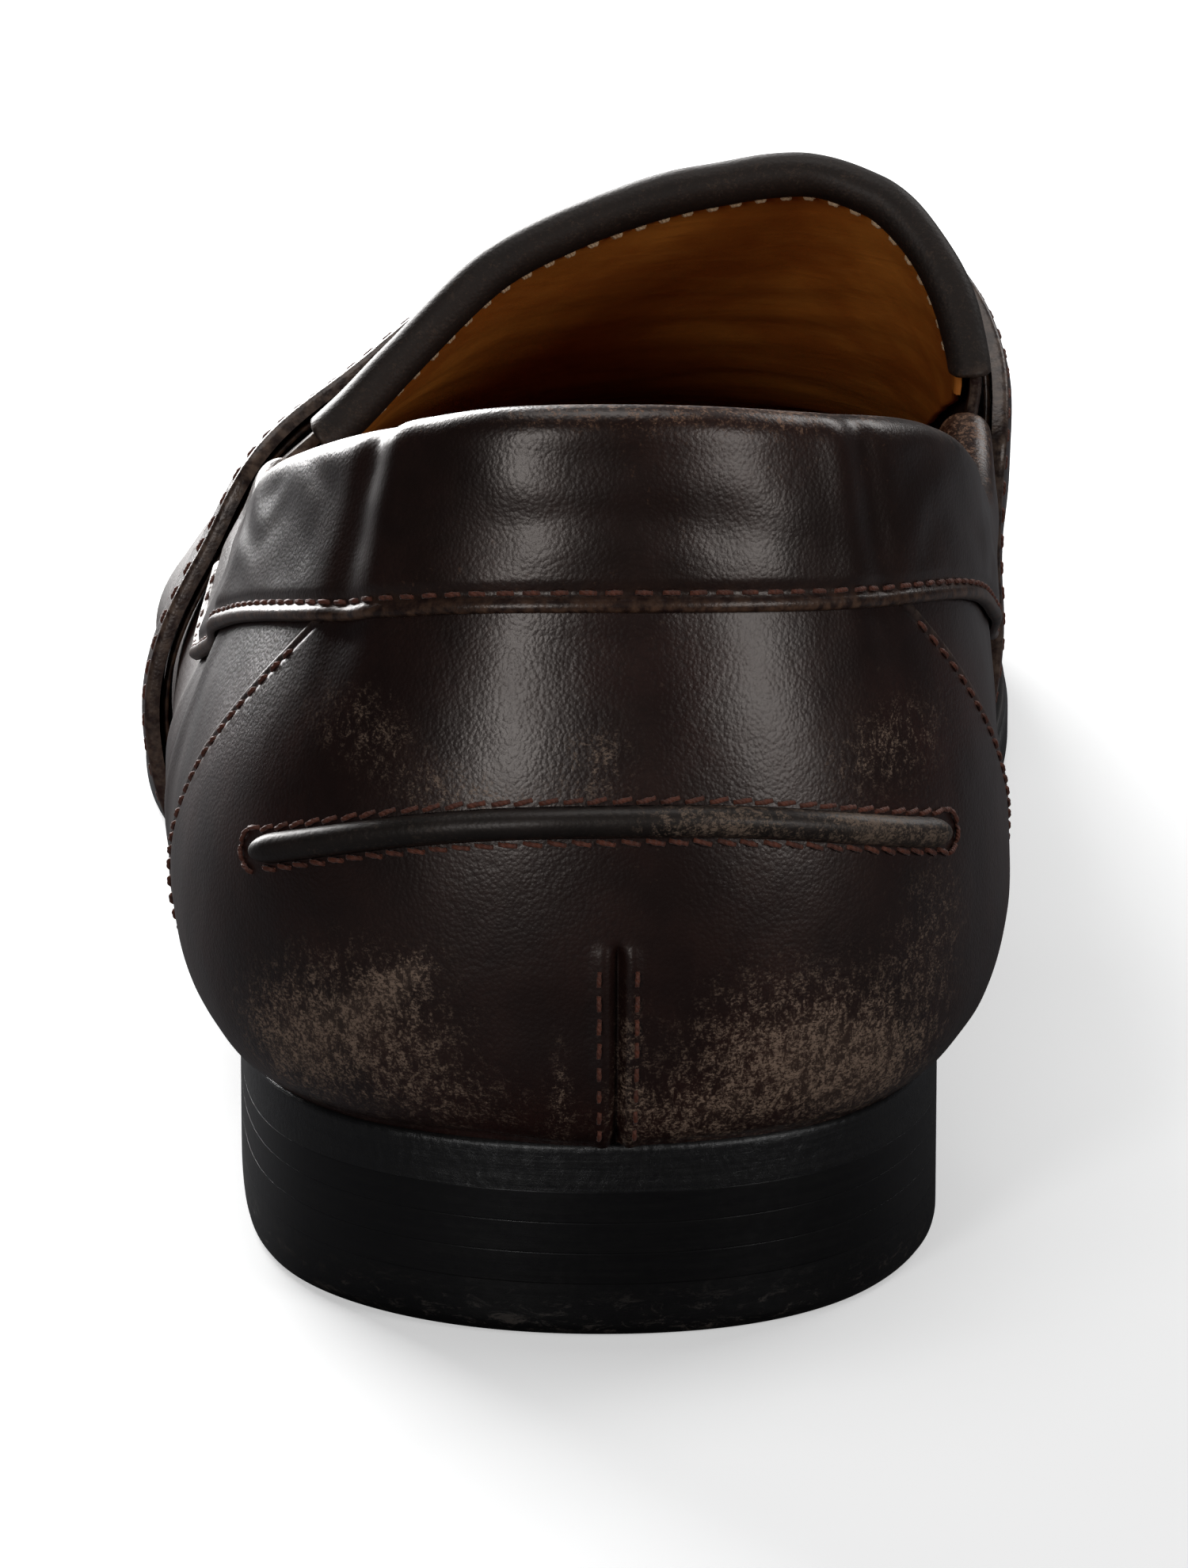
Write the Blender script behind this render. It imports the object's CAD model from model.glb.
import math
import bpy
import bmesh
import numpy as np
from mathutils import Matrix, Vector


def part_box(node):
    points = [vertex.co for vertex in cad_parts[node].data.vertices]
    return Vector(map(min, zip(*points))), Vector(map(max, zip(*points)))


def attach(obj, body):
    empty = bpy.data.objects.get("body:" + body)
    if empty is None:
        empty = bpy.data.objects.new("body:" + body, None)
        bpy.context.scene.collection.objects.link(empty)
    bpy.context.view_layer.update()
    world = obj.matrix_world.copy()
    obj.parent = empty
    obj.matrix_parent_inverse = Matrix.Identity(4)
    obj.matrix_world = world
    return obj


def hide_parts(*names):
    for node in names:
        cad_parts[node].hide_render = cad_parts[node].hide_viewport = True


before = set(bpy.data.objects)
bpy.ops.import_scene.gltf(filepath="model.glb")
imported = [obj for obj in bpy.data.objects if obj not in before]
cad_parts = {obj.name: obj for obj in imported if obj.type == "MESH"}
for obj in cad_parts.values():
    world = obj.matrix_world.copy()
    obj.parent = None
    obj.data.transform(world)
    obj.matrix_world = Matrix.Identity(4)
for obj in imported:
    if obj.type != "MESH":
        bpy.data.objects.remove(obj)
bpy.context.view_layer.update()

# The shoe's shape, in millimetres, drawn with y = 0 at the back of the heel. put() moves points into the row frame.
# ---------- small numeric helpers ----------
def pchip(x, xs, ys):
    xs = np.asarray(xs, float); ys = np.asarray(ys, float); x = np.asarray(x, float)
    h = np.diff(xs); d = np.diff(ys) / h
    m = np.zeros(len(xs))
    for i in range(1, len(xs) - 1):
        if d[i - 1] * d[i] > 0:
            w1 = 2 * h[i] + h[i - 1]; w2 = h[i] + 2 * h[i - 1]
            m[i] = (w1 + w2) / (w1 / d[i - 1] + w2 / d[i])
    m[0], m[-1] = d[0], d[-1]
    xc = np.clip(x, xs[0], xs[-1])
    k = np.clip(np.searchsorted(xs, xc, side="right") - 1, 0, len(xs) - 2)
    t = (xc - xs[k]) / h[k]
    h00 = 2 * t**3 - 3 * t**2 + 1; h10 = t**3 - 2 * t**2 + t
    h01 = -2 * t**3 + 3 * t**2; h11 = t**3 - t**2
    return h00 * ys[k] + h10 * h[k] * m[k] + h01 * ys[k + 1] + h11 * h[k] * m[k + 1]


def closed_spline(P, n):
    """n points, evenly spaced by arc length, on the periodic cubic spline through P."""
    P = np.asarray(P, float); m = len(P)
    ch = np.linalg.norm(np.roll(P[:, :2], -1, 0) - P[:, :2], axis=1) ** 0.75
    A = np.zeros((m, m)); B = np.zeros_like(P)
    for i in range(m):
        hp, hn = ch[i - 1], ch[i]
        A[i, (i - 1) % m] += hn; A[i, i] += 2 * (hp + hn); A[i, (i + 1) % m] += hp
        B[i] = 3 * (hn * (P[i] - P[i - 1]) / hp + hp * (P[(i + 1) % m] - P[i]) / hn)
    M = np.linalg.solve(A, B)
    out = []
    for i in range(m):
        j = (i + 1) % m; h = ch[i]
        t = np.linspace(0, 1, 60, endpoint=False)[:, None]
        out.append((2*t**3 - 3*t**2 + 1) * P[i] + (t**3 - 2*t**2 + t) * h * M[i]
                   + (-2*t**3 + 3*t**2) * P[j] + (t**3 - t**2) * h * M[j])
    D = np.vstack(out)
    s = np.r_[0, np.cumsum(np.linalg.norm(np.roll(D, -1, 0) - D, axis=1))]
    Dc = np.vstack([D, D[:1]])
    q = np.linspace(0, s[-1], n, endpoint=False)
    return np.stack([np.interp(q, s, Dc[:, k]) for k in range(D.shape[1])], 1)


def smooth_closed(a, k):
    """Moving average over 2k+1 neighbours round a closed list, run twice."""
    a = np.asarray(a, float)
    for _ in range(2):
        a = sum(np.roll(a, i, 0) for i in range(-k, k + 1)) / (2 * k + 1)
    return a


# ---------- driving outlines, mm: x towards the big-toe side, y to the toe, z up ----------
SOLE = [(2, 0), (-10, 1.6), (-20.5, 7.4), (-27.8, 16.5), (-31.6, 28), (-33.2, 42), (-34, 60), (-34.4, 80), (-35.4, 105), (-38.6, 130),
        (-43.6, 155), (-47.9, 180), (-49.2, 202), (-47.2, 223), (-41.2, 246), (-31.5, 267), (-18.5, 283), (-3, 291), (11, 291.2),
        (25.2, 284), (36.4, 268), (42.7, 248), (45.3, 227), (45.8, 207), (44.1, 185), (39.9, 161), (33.2, 136), (28, 113),
        (26.2, 95), (27.2, 79), (29.7, 62), (31.8, 46), (32, 33), (28.8, 19.5), (22, 8.3), (13, 2.2)]
TOP = [(1, 4.5, 83), (-11, 7.2, 82.0), (-19, 16, 78.6), (-25, 29, 74.0), (-29.3, 43, 69.0), (-31.3, 56, 63.6), (-32.4, 70, 57.5),
       (-33, 84, 52.8), (-33.0, 95, 52.2), (-31.8, 104.5, 55.6), (-31.8, 116, 52.4), (-32.8, 130, 48.2), (-34.0, 150, 42.6), (-34.8, 175, 36.8),
       (-34.4, 200, 32.2), (-31.8, 223, 29.6), (-26.6, 243, 29.6), (-17.6, 258, 31.4), (-4, 266, 33.0), (9.5, 266, 33.2),
       (22.2, 259.4, 32.8), (30.8, 244.6, 32.2), (35.2, 225, 33.4), (37, 204, 36.8), (37.8, 180, 41.6), (38.3, 155, 47.4),
       (38.5, 132, 53.2), (38.4, 115, 57.4), (37.9, 104, 59.6), (38.2, 94, 57.0), (37.6, 82, 56.4), (36.6, 68, 60), (35.2, 54, 66),
       (33.2, 40, 72.0), (29.0, 27, 76.6), (21.8, 15, 79.9), (12.2, 7.2, 82.2)]
# outer edge of the throat, side to side over the instep
ARCH = [(-31.8, 104.5, 55.6), (-25.4, 108.2, 60.6), (-20.0, 110.6, 65.8), (-10.2, 114.4, 74.4), (0.8, 117.2, 79.2), (11, 118.8, 82.0),
        (20.7, 119.2, 83.2), (28.6, 117.6, 81.2), (34.2, 114.2, 76.2), (37.7, 109.6, 69.2), (38.6, 106.2, 63.8), (37.9, 104, 59.6)]
N_U = 1440


def sole_bottom(y):
    return pchip(y, [-5, 0, 35, 68, 95, 120, 145, 165, 184, 214, 232, 250, 270, 285, 298],
                 [14.0, 13.8, 13.0, 11.9, 9.2, 6.0, 2.7, 0.9, 0.0, 0.0, 0.45, 1.8, 4.6, 7.3, 10.0])


SOLE_T = 4.6
RAND_T = 1.5


def rand_t(y):
    return RAND_T * np.clip((np.asarray(y, float) - 78) / 30, 0, 1)


def base_z(y):
    return sole_bottom(y) + SOLE_T + 0.1 + rand_t(y)


class Last:
    def __init__(self):
        n = N_U
        O = closed_spline([p + (0,) for p in SOLE], n)[:, :2]
        self.outline = O
        tan = np.roll(O, -3, 0) - np.roll(O, 3, 0)
        tan /= np.linalg.norm(tan, axis=1)[:, None]
        nin = np.stack([-tan[:, 1], tan[:, 0]], 1)  # candidate inward normal
        if ((O + 5 * nin) - O.mean(0))[n // 4] @ (O.mean(0) - O[n // 4]) > 0:
            nin = nin
        # inward must point to the middle at the heel's back
        if nin[0, 1] < 0:
            nin = -nin
        nin = smooth_closed(nin, 6)
        nin /= np.linalg.norm(nin, axis=1)[:, None]
        self.nin = nin
        y = O[:, 1]
        inset = pchip(y, [0, 40, 75, 100, 130, 300], [1.2, 1.2, 1.4, 2.2, 3.0, 3.2])
        F = O + nin * inset[:, None]
        F = smooth_closed(F, 3)
        self.F = np.c_[F, base_z(F[:, 1])]
        self.toe = int(np.argmax(O[:, 1]))
        T = closed_spline(TOP, n * 2)
        self.T_raw = T
        # where each station's vertical plane meets the top curve, seen from above
        rT = np.zeros(n); zT = np.zeros(n); kT = np.zeros(n)
        A, B = T[:, :2], np.roll(T[:, :2], -1, 0)
        D = B - A
        for i in range(n):
            p, d = F[i], nin[i]
            den = d[0] * D[:, 1] - d[1] * D[:, 0]
            den = np.where(abs(den) < 1e-12, 1e-12, den)
            w = A - p
            r = (w[:, 0] * D[:, 1] - w[:, 1] * D[:, 0]) / den
            q = (w[:, 0] * d[1] - w[:, 1] * d[0]) / den
            ok = (q >= -1e-9) & (q <= 1 + 1e-9) & (r > -24) & (r < 34)
            k = np.where(ok)[0]
            if len(k) == 0:
                rT[i] = np.nan; continue
            # choose the crossing on the same side, near in index
            frac = i / n
            dk = np.abs(((k / len(T)) - frac + 0.5) % 1 - 0.5)
            j = k[np.argmin(dk + 0.002 * abs(r[k]))]
            rT[i] = r[j]; zT[i] = T[j, 2] + q[j] * (T[(j + 1) % len(T), 2] - T[j, 2]); kT[i] = j + q[j]
        bad = np.isnan(rT)
        if bad.any():
            raise ValueError("top curve missed at %s" % np.where(bad)[0][:10])
        self.rT, self.zT, self.kT = rT, zT, kT
        # bulge tables along each side
        yl = [0, 15, 35, 60, 85, 105, 130, 160, 190, 220, 250, 275, 291]
        bl = [5.5, 6.3, 7.2, 8.0, 9.3, 9.2, 7.6, 4.0, 1.9, 1.7, 2.2, 2.6, 2.6]
        zl = [19, 18, 15, 14, 14, 16, 15, 12, 9, 8, 8, 8, 8]
        bm = [5.5, 6.3, 7.2, 9.8, 13.2, 13.4, 8.6, 4.2, 2.1, 1.7, 2.2, 2.6, 2.6]
        zm = [19, 18, 15, 17, 22, 25, 20, 14, 10, 9, 8, 8, 8]
        al = [84, 81, 79, 78, 76, 70, 60, 52, 47, 41, 28, 16, 12]
        am = [84, 82, 82, 84, 88, 88, 76, 64, 54, 43, 28, 16, 12]
        self.hk = smooth_closed(pchip(self.F[:, 1], [0, 90, 130, 160, 291], [0.36, 0.36, 0.32, 0.27, 0.27]), 6)
        yy = self.F[:, 1]
        lat = np.arange(n) <= self.toe
        def both(a, b):
            v = np.where(lat, pchip(yy, yl, a), pchip(yy, yl, b))
            return smooth_closed(v, 10)
        self.b = both(bl, bm); self.zb = both(zl, zm); self.al = np.radians(both(al, am))

    def wall(self, u, v):
        """Points on the outer face of the upper's wall. u: fraction round the feather line from the heel's back, towards
        the little-toe side first; v: 0 at the feather line to 1 at the top edge."""
        u = np.asarray(u, float) % 1.0; v = np.asarray(v, float)
        n = N_U
        k = u * n; i = np.floor(k).astype(int) % n; j = (i + 1) % n; f = k - np.floor(k)
        def at(a):
            return a[i] * (1 - f) + a[j] * f
        def at2(a):
            return a[i] * (1 - f)[..., None] + a[j] * f[..., None]
        F = at2(self.F); nin = at2(self.nin); nin = nin / np.linalg.norm(nin, axis=-1)[..., None]
        b, zb, al, rT = at(self.b), at(self.zb), at(self.al), at(self.rT)
        H = at(self.zT) - F[..., 2]; hk = at(self.hk)
        L = np.hypot(rT + b, H - zb)
        v1 = 0.28
        t1 = np.clip(v / v1, 0, 1); t2 = np.clip((v - v1) / (1 - v1), 0, 1)
        def bez(p0, p1, p2, p3, t):
            return (1-t)**3*p0 + 3*(1-t)**2*t*p1 + 3*(1-t)*t**2*p2 + t**3*p3
        r1 = bez(0*b, -0.6*b, -b, -b, t1); z1 = bez(0*b, 0.03*zb, 0.38*zb, zb, t1)
        r2 = bez(-b, -b, rT - 0.34*L*np.cos(al), rT, t2)
        z2 = bez(zb, zb + hk*L, H - 0.34*L*np.sin(al), H, t2)
        m = v < v1
        r = np.where(m, r1, r2); z = np.where(m, z1, z2)
        return np.stack([F[..., 0] + nin[..., 0]*r, F[..., 1] + nin[..., 1]*r, F[..., 2] + z], -1)

    def u_of_T(self, x, y):
        """The station whose top point is nearest to plan point (x, y)."""
        P = self.wall(np.arange(N_U) / N_U, np.ones(N_U))
        d = (P[:, 0] - x)**2 + (P[:, 1] - y)**2
        return np.argmin(d) / N_U

    def setup_apron(self):
        n = N_U
        self.uL = self.u_of_T(-31.8, 104.5); self.uM = self.u_of_T(37.9, 104)
        P = self.wall(np.arange(n) / n, np.ones(n))
        # toe point of the top curve
        k = np.arange(n)
        front = (k / n > self.uL) & (k / n < self.uM)
        self.uT = k[front][np.argmax(P[front, 1])] / n
        def arc(ua, ub):
            us = np.linspace(ua, ub, 400)
            Q = self.wall(us, np.ones(400))
            s = np.r_[0, np.cumsum(np.linalg.norm(np.diff(Q, axis=0), axis=1))]
            return us, s / s[-1]
        self.arcL = arc(self.uL, self.uT); self.arcM = arc(self.uM, self.uT)

    def us(self, s):
        return np.interp(s, self.arcL[1], self.arcL[0]), np.interp(s, self.arcM[1], self.arcM[0])

    def arch(self, t):
        A = np.asarray(ARCH, float)
        c = np.r_[0, np.cumsum(np.linalg.norm(np.diff(A, axis=0), axis=1))]; c /= c[-1]
        return np.stack([pchip(t, c, A[:, k]) for k in range(3)], -1)

    def apron(self, s, t):
        s = np.asarray(s, float); t = np.asarray(t, float)
        def rows(s):
            ul, um = self.us(s)
            P0 = self.wall(ul, np.ones_like(s)); P3 = self.wall(um, np.ones_like(s))
            w = (P3 - P0)
            ks = [0, 0.08, 0.2, 0.35, 0.5, 0.7, 0.88, 1.0]
            h1 = pchip(s, ks, [24, 20.5, 15.5, 11.5, 8.6, 5.2, 2.2, 0.0])
            h2 = pchip(s, ks, [36, 29, 20, 13.0, 9.0, 5.2, 2.2, 0.0])
            a1 = pchip(s, ks, [0.15, 0.18, 0.22, 0.26, 0.29, 0.33, 0.33, 0.33])
            a2 = pchip(s, ks, [-0.03, 0.0, 0.08, 0.18, 0.26, 0.31, 0.33, 0.33])
            up = np.array([0, 0, 1.0])
            P1 = P0 + w * a1[..., None] + up * h1[..., None]
            P2 = P3 - w * a2[..., None] + up * h2[..., None]
            t_ = t[..., None]
            Q = (1-t_)**3*P0 + 3*(1-t_)**2*t_*P1 + 3*(1-t_)*t_**2*P2 + t_**3*P3
            yo = pchip(s, [0, 0.15, 0.4, 0.7, 1.0], [16, 14.5, 9, 3, 0])
            Q[..., 1] += yo * np.sin(np.pi * np.clip(t, 0, 1)) * 0.9
            return Q
        Q = rows(s)
        w = np.exp(-(s / 0.16)**1.5)
        return Q + (self.arch(t) - rows(np.zeros_like(s))) * w[..., None]


# ---------- surfaces with depth ----------
L = Last(); L.setup_apron()
UL, UM, UT = L.uL, L.uM, L.uT
UPPER_T = 1.25
LINING_IN, LINING_OUT = 2.10, 2.85
STRAP_IN, STRAP_OUT = -1.02, -2.62

_lo, _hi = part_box("outsole")
_o = L.outline
SX = (_lo[0] + _hi[0]) * 500 - (_o[:, 0].min() + _o[:, 0].max()) / 2
SY = (_lo[1] + _hi[1]) * 500 - (_o[:, 1].min() + _o[:, 1].max()) / 2


def put(P):
    return (np.asarray(P, float) + np.array([SX, SY, 0.0])) * 0.001


def unit(a):
    return a / np.maximum(np.linalg.norm(a, axis=-1), 1e-12)[..., None]


def smoothstep(x):
    x = np.clip(x, 0, 1)
    return x * x * (3 - 2 * x)


def gauss(x, c, w):
    return np.exp(-((x - c) / w) ** 2)


def seam_s(u):
    u = np.asarray(u, float) % 1.0
    a = np.interp(u, L.arcL[0], L.arcL[1])
    b = np.interp(-u, -L.arcM[0], L.arcM[1])
    return np.where(u <= UT, a, b)


def n_wall(u, v):
    e, w = 0.0012, 0.006
    u, v = np.broadcast_arrays(np.asarray(u, float), np.asarray(v, float))
    du = L.wall(u + e, v) - L.wall(u - e, v)
    dv = L.wall(u, np.minimum(v + w, 1)) - L.wall(u, np.maximum(v - w, 0))
    return unit(np.cross(du, dv))


def n_apron(s, t):
    s, t = np.broadcast_arrays(np.asarray(s, float), np.asarray(t, float))
    s = np.minimum(s, 0.975)
    ds = L.apron(np.minimum(s + 0.006, 0.985), t) - L.apron(np.maximum(s - 0.006, 0), t)
    dt = L.apron(s, np.minimum(t + 0.006, 1)) - L.apron(s, np.maximum(t - 0.006, 0))
    return unit(np.cross(ds, dt))


def n_seam(u):
    t = np.where((np.asarray(u) % 1.0) <= UT, 0.004, 0.996)
    return unit(n_wall(u, np.full_like(u, 0.985)) + n_apron(seam_s(u), t))


# ---------- smooth noise ----------
def _hash(i, j, k, seed):
    h = (i.astype(np.int64) * 374761393 + j.astype(np.int64) * 668265263 + k.astype(np.int64) * 2147483647 + seed * 974634777) & 0xFFFFFFFF
    h = ((h ^ (h >> 13)) * 1274126177) & 0xFFFFFFFF
    h = h ^ (h >> 16)
    return (h & 0xFFFF) / 32767.5 - 1.0


def vnoise(P, scale, seed=0):
    Q = np.asarray(P, float) / scale + 100.0
    i = np.floor(Q).astype(int); f = Q - i
    f = f * f * f * (f * (f * 6 - 15) + 10)
    out = 0.0
    for a in (0, 1):
        for b in (0, 1):
            for c in (0, 1):
                w = (f[..., 0] if a else 1 - f[..., 0]) * (f[..., 1] if b else 1 - f[..., 1]) * (f[..., 2] if c else 1 - f[..., 2])
                out = out + w * _hash(i[..., 0] + a, i[..., 1] + b, i[..., 2] + c, seed)
    return out


def fbm(P, scale, seed=0, n=3):
    return sum(vnoise(P, scale / 2 ** k, seed + k) * 0.5 ** k for k in range(n)) / 1.6


# ---------- relief: the soft dents and creases every layer shares, in mm outwards ----------
def u_at_y(y, side):
    k = np.arange(N_U)
    m = (k <= L.toe) if side < 0 else (k >= L.toe)
    yy = L.F[m, 1]; kk = k[m]
    o = np.argsort(yy)
    u = np.interp(y, yy[o], kk[o]) / N_U
    return u if side < 0 else u - 1.0


def crease(P, c, direction, width, depth, length, mid):
    """A soft valley: P points, c a point on it, direction across it, mid/length where it fades along its run."""
    d = np.asarray(direction, float); d /= np.linalg.norm(d)
    q = (P - np.asarray(c, float)) @ d
    r = np.linalg.norm(P - np.asarray(c, float) - q[..., None] * d, axis=-1)
    return -depth * np.exp(-(q / width) ** 2) * np.exp(-(r / length) ** 2)


def relief(P, v=None):
    r = 0.20 * fbm(P, 26, 3) + 0.07 * fbm(P, 8, 9, 2)
    y = P[..., 1]; x = P[..., 0]; z = P[..., 2]
    # walking creases over the ball of the foot
    fold_w = gauss(y, 196, 22)
    wob = 5.0 * vnoise(P, 30, 21) + 0.05 * (x * x) / 10
    r = r + fold_w * (0.34 * np.sin((y + wob) / 4.6) * (0.6 + 0.4 * vnoise(P, 18, 4)) - 0.1)
    # soft upright folds of the back's top corners and the outer quarter
    top = smoothstep((z - 52) / 22) * smoothstep((95 - y) / 40)
    ang = np.arctan2(x - 1.5, np.maximum(34 - y, 1e-3))
    r = r - 0.75 * top * gauss(ang, -0.86, 0.085) + 0.45 * top * gauss(ang, -0.70, 0.08) - 0.55 * top * gauss(ang, 0.90, 0.07) + 0.30 * top * gauss(ang, 0.76, 0.07)
    lat = smoothstep((-x - 24) / 10) * smoothstep((z - 22) / 16) * smoothstep((66 - z) / 10)
    r = r + lat * (0.50 * gauss(y + 0.55 * (z - 45), 56, 3.6) - 0.40 * gauss(y + 0.55 * (z - 45), 64, 4.2) + 0.35 * gauss(y + 0.7 * (z - 45), 76, 4))
    med = smoothstep((x - 24) / 10) * smoothstep((z - 22) / 16) * smoothstep((66 - z) / 10)
    r = r + med * (0.40 * gauss(y + 0.5 * (z - 45), 60, 4) - 0.30 * gauss(y + 0.5 * (z - 45), 70, 4))
    return r


def W(u, v, d, rel=True):
    u, v, d = np.broadcast_arrays(np.asarray(u, float), np.asarray(v, float), np.asarray(d, float))
    n = n_wall(u, v)
    um = u % 1.0
    w = smoothstep((v - 0.80) / 0.18) * smoothstep((um - UL + 0.02) / 0.03) * smoothstep((UM + 0.02 - um) / 0.03)
    ns = n_seam(np.clip(um, UL, UM))
    n = unit(n * (1 - w[..., None]) + ns * w[..., None])
    P = L.wall(u, v)
    if rel:
        P = P - n * (relief(P) * smoothstep(v / 0.10))[..., None]
    return P + n * d[..., None]


def A(s, t, d, rel=True):
    s, t, d = np.broadcast_arrays(np.asarray(s, float), np.asarray(t, float), np.asarray(d, float))
    n = n_apron(s, t)
    ul, um = L.us(s)
    w0 = smoothstep((0.12 - t) / 0.11); w1 = smoothstep((t - 0.88) / 0.11)
    n = unit(n * (1 - w0 - w1)[..., None] + n_seam(ul) * w0[..., None] + n_seam(um) * w1[..., None])
    P = L.apron(s, t)
    if rel:
        P = P - n * relief(P)[..., None]
    return P + n * d[..., None]


def v_at_z(u, z):
    vv = np.linspace(0, 1, 161)
    u = np.atleast_1d(u); z = np.broadcast_to(z, u.shape)
    zz = L.wall(np.repeat(u[:, None], 161, 1), np.repeat(vv[None], len(u), 0))[..., 2]
    return np.array([np.interp(b, a, vv) for a, b in zip(zz, z)])


# ---------- meshes ----------
def new_object(name, V, F, attrs=None, smooth=True):
    me = bpy.data.meshes.new(name)
    me.from_pydata(V.tolist(), [], F)
    me.update()
    if smooth:
        me.polygons.foreach_set("use_smooth", [True] * len(me.polygons))
    for k, a in (attrs or {}).items():
        at = me.attributes.new(k, 'FLOAT', 'POINT')
        at.data.foreach_set("value", np.asarray(a, np.float32))
    ob = bpy.data.objects.new(name, me)
    bpy.context.scene.collection.objects.link(ob)
    return ob


def fix_normals(ob):
    bm = bmesh.new(); bm.from_mesh(ob.data)
    bmesh.ops.recalc_face_normals(bm, faces=bm.faces)
    bm.to_mesh(ob.data); bm.free()


def ramp(n, length, fine=True, both=True):
    """n + extra samples of 0..1 with close rows near the ends, for rounded cut edges."""
    base = np.linspace(0, 1, n)
    if not fine:
        return base
    e = np.array([0.10, 0.24, 0.42, 0.62, 0.9, 1.3]) / length
    keep = base[(base > e[-1] * 1.3) & (base < 1 - e[-1] * 1.3)]
    return np.concatenate([[0], e, keep, 1 - e[::-1], [1]])


def grid_faces(n, m, off=0, flip=False):
    i, j = np.meshgrid(np.arange(n - 1), np.arange(m - 1), indexing='ij')
    a = off + i * m + j
    q = np.stack([a, a + m, a + m + 1, a + 1], -1).reshape(-1, 4)
    return (q[:, ::-1] if flip else q).tolist()


def edge_distance(P, sides):
    """Distance in mm from the flagged borders (u0, u1, v0, v1) along the grid."""
    n, m = P.shape[:2]
    big = np.full((n, m), 1e3)
    cu = np.concatenate([np.zeros((1, m)), np.cumsum(np.linalg.norm(np.diff(P, axis=0), axis=-1), 0)])
    cv = np.concatenate([np.zeros((n, 1)), np.cumsum(np.linalg.norm(np.diff(P, axis=1), axis=-1), 1)], 1)
    d = big
    if sides[0]: d = np.minimum(d, cu)
    if sides[1]: d = np.minimum(d, cu[-1:] - cu)
    if sides[2]: d = np.minimum(d, cv)
    if sides[3]: d = np.minimum(d, cv[:, -1:] - cv)
    return d


def shell(name, P, N, t, sides=(1, 1, 1, 1), R=0.5, extra=None, inner=True, wear=None):
    """Closed leather sheet: P outer face, N unit directions into the thickness, t thickness, R edge rounding."""
    n, m = P.shape[:2]
    d = edge_distance(P, sides)
    sink = R - np.sqrt(np.maximum(R * R - (R - np.minimum(d, R)) ** 2, 0))
    O = P + N * sink[..., None]
    t = np.broadcast_to(t, (n, m))
    I = P + N * t[..., None]
    V = np.concatenate([O.reshape(-1, 3), I.reshape(-1, 3)])
    k = n * m
    F = grid_faces(n, m) + grid_faces(n, m, k, True)
    def idx(i, j): return i * m + j
    top = [idx(i, 0) for i in range(n)]; bot = [idx(i, m - 1) for i in range(n)]
    lef = [idx(0, j) for j in range(m)]; rig = [idx(n - 1, j) for j in range(m)]
    for line, fl in ((top, 0), (bot, 1), (lef, 1), (rig, 0)):
        for a, b in zip(line[:-1], line[1:]):
            q = [a, b, b + k, a + k]
            F.append(q[::-1] if fl else q)
    e = np.exp(-np.maximum(d - R * 0.6, 0) / 0.9)
    at = {"edge": np.concatenate([e.reshape(-1), e.reshape(-1)])}
    w = np.zeros((n, m)) if wear is None else wear
    at["wear"] = np.concatenate([w.reshape(-1), 0 * w.reshape(-1)])
    if extra is not None:
        for kk, vv in extra.items():
            at[kk] = np.concatenate([vv.reshape(-1), vv.reshape(-1)])
    ob = new_object(name, put(V), F, at)
    fix_normals(ob)
    return ob


def join(name, obs):
    bpy.ops.object.select_all(action='DESELECT')
    for o in obs:
        o.select_set(True)
    bpy.context.view_layer.objects.active = obs[0]
    if len(obs) > 1:
        bpy.ops.object.join()
    obs[0].name = name; obs[0].data.name = name
    return obs[0]


def ring_solid(name, ring_fn, prof, cap=(True, True), m=12, attrs=None):
    """Solid of closed rings. ring_fn(inset) -> (n, 2) plan ring starting at the back; prof: list of (inset, z function of x, y);
    caps are zipped across left to right."""
    V = []; n = None
    for ins, zf in prof:
        R = ring_fn(ins); n = len(R)
        V.append(np.c_[R, zf(R[:, 0], R[:, 1])])
    V = np.array(V)
    F = []
    r = len(prof)
    for a in range(r - 1):
        for i in range(n):
            j = (i + 1) % n
            F.append([a * n + i, a * n + j, (a + 1) * n + j, (a + 1) * n + i])
    if not cap[0] and not cap[1]:
        for i in range(n):
            j = (i + 1) % n
            F.append([(r - 1) * n + i, (r - 1) * n + j, j, i])
    P = V.reshape(-1, 3)
    extra = []
    for which, row in ((0, 0), (1, r - 1)):
        if not cap[which]:
            continue
        zf = prof[row][1]; R = V[row]; off0 = row * n
        h = n // 2
        grid = {}
        for k in range(0, h + 1):
            a, b = k, (n - k) % n
            if a == b or k == h:
                for j in range(m + 1):
                    grid[k, j] = off0 + a
                continue
            for j in range(m + 1):
                if j == 0: grid[k, j] = off0 + a
                elif j == m: grid[k, j] = off0 + b
                else:
                    q = R[a, :2] * (1 - j / m) + R[b, :2] * (j / m)
                    grid[k, j] = len(P) + len(extra)
                    extra.append([q[0], q[1], float(zf(np.array([q[0]]), np.array([q[1]]))[0])])
        for k in range(h):
            for j in range(m):
                q = [grid[k, j], grid[k + 1, j], grid[k + 1, j + 1], grid[k, j + 1]]
                u = []
                for x in q:
                    if x not in u: u.append(x)
                if len(u) >= 3:
                    F.append(u)
    if extra:
        P = np.concatenate([P, np.array(extra)])
    at = {"edge": np.zeros(len(P)), "wear": np.zeros(len(P))}
    if attrs is not None:
        at.update(attrs(P, n, r))
    ob = new_object(name, put(P), F, at)
    fix_normals(ob)
    return ob


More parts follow.
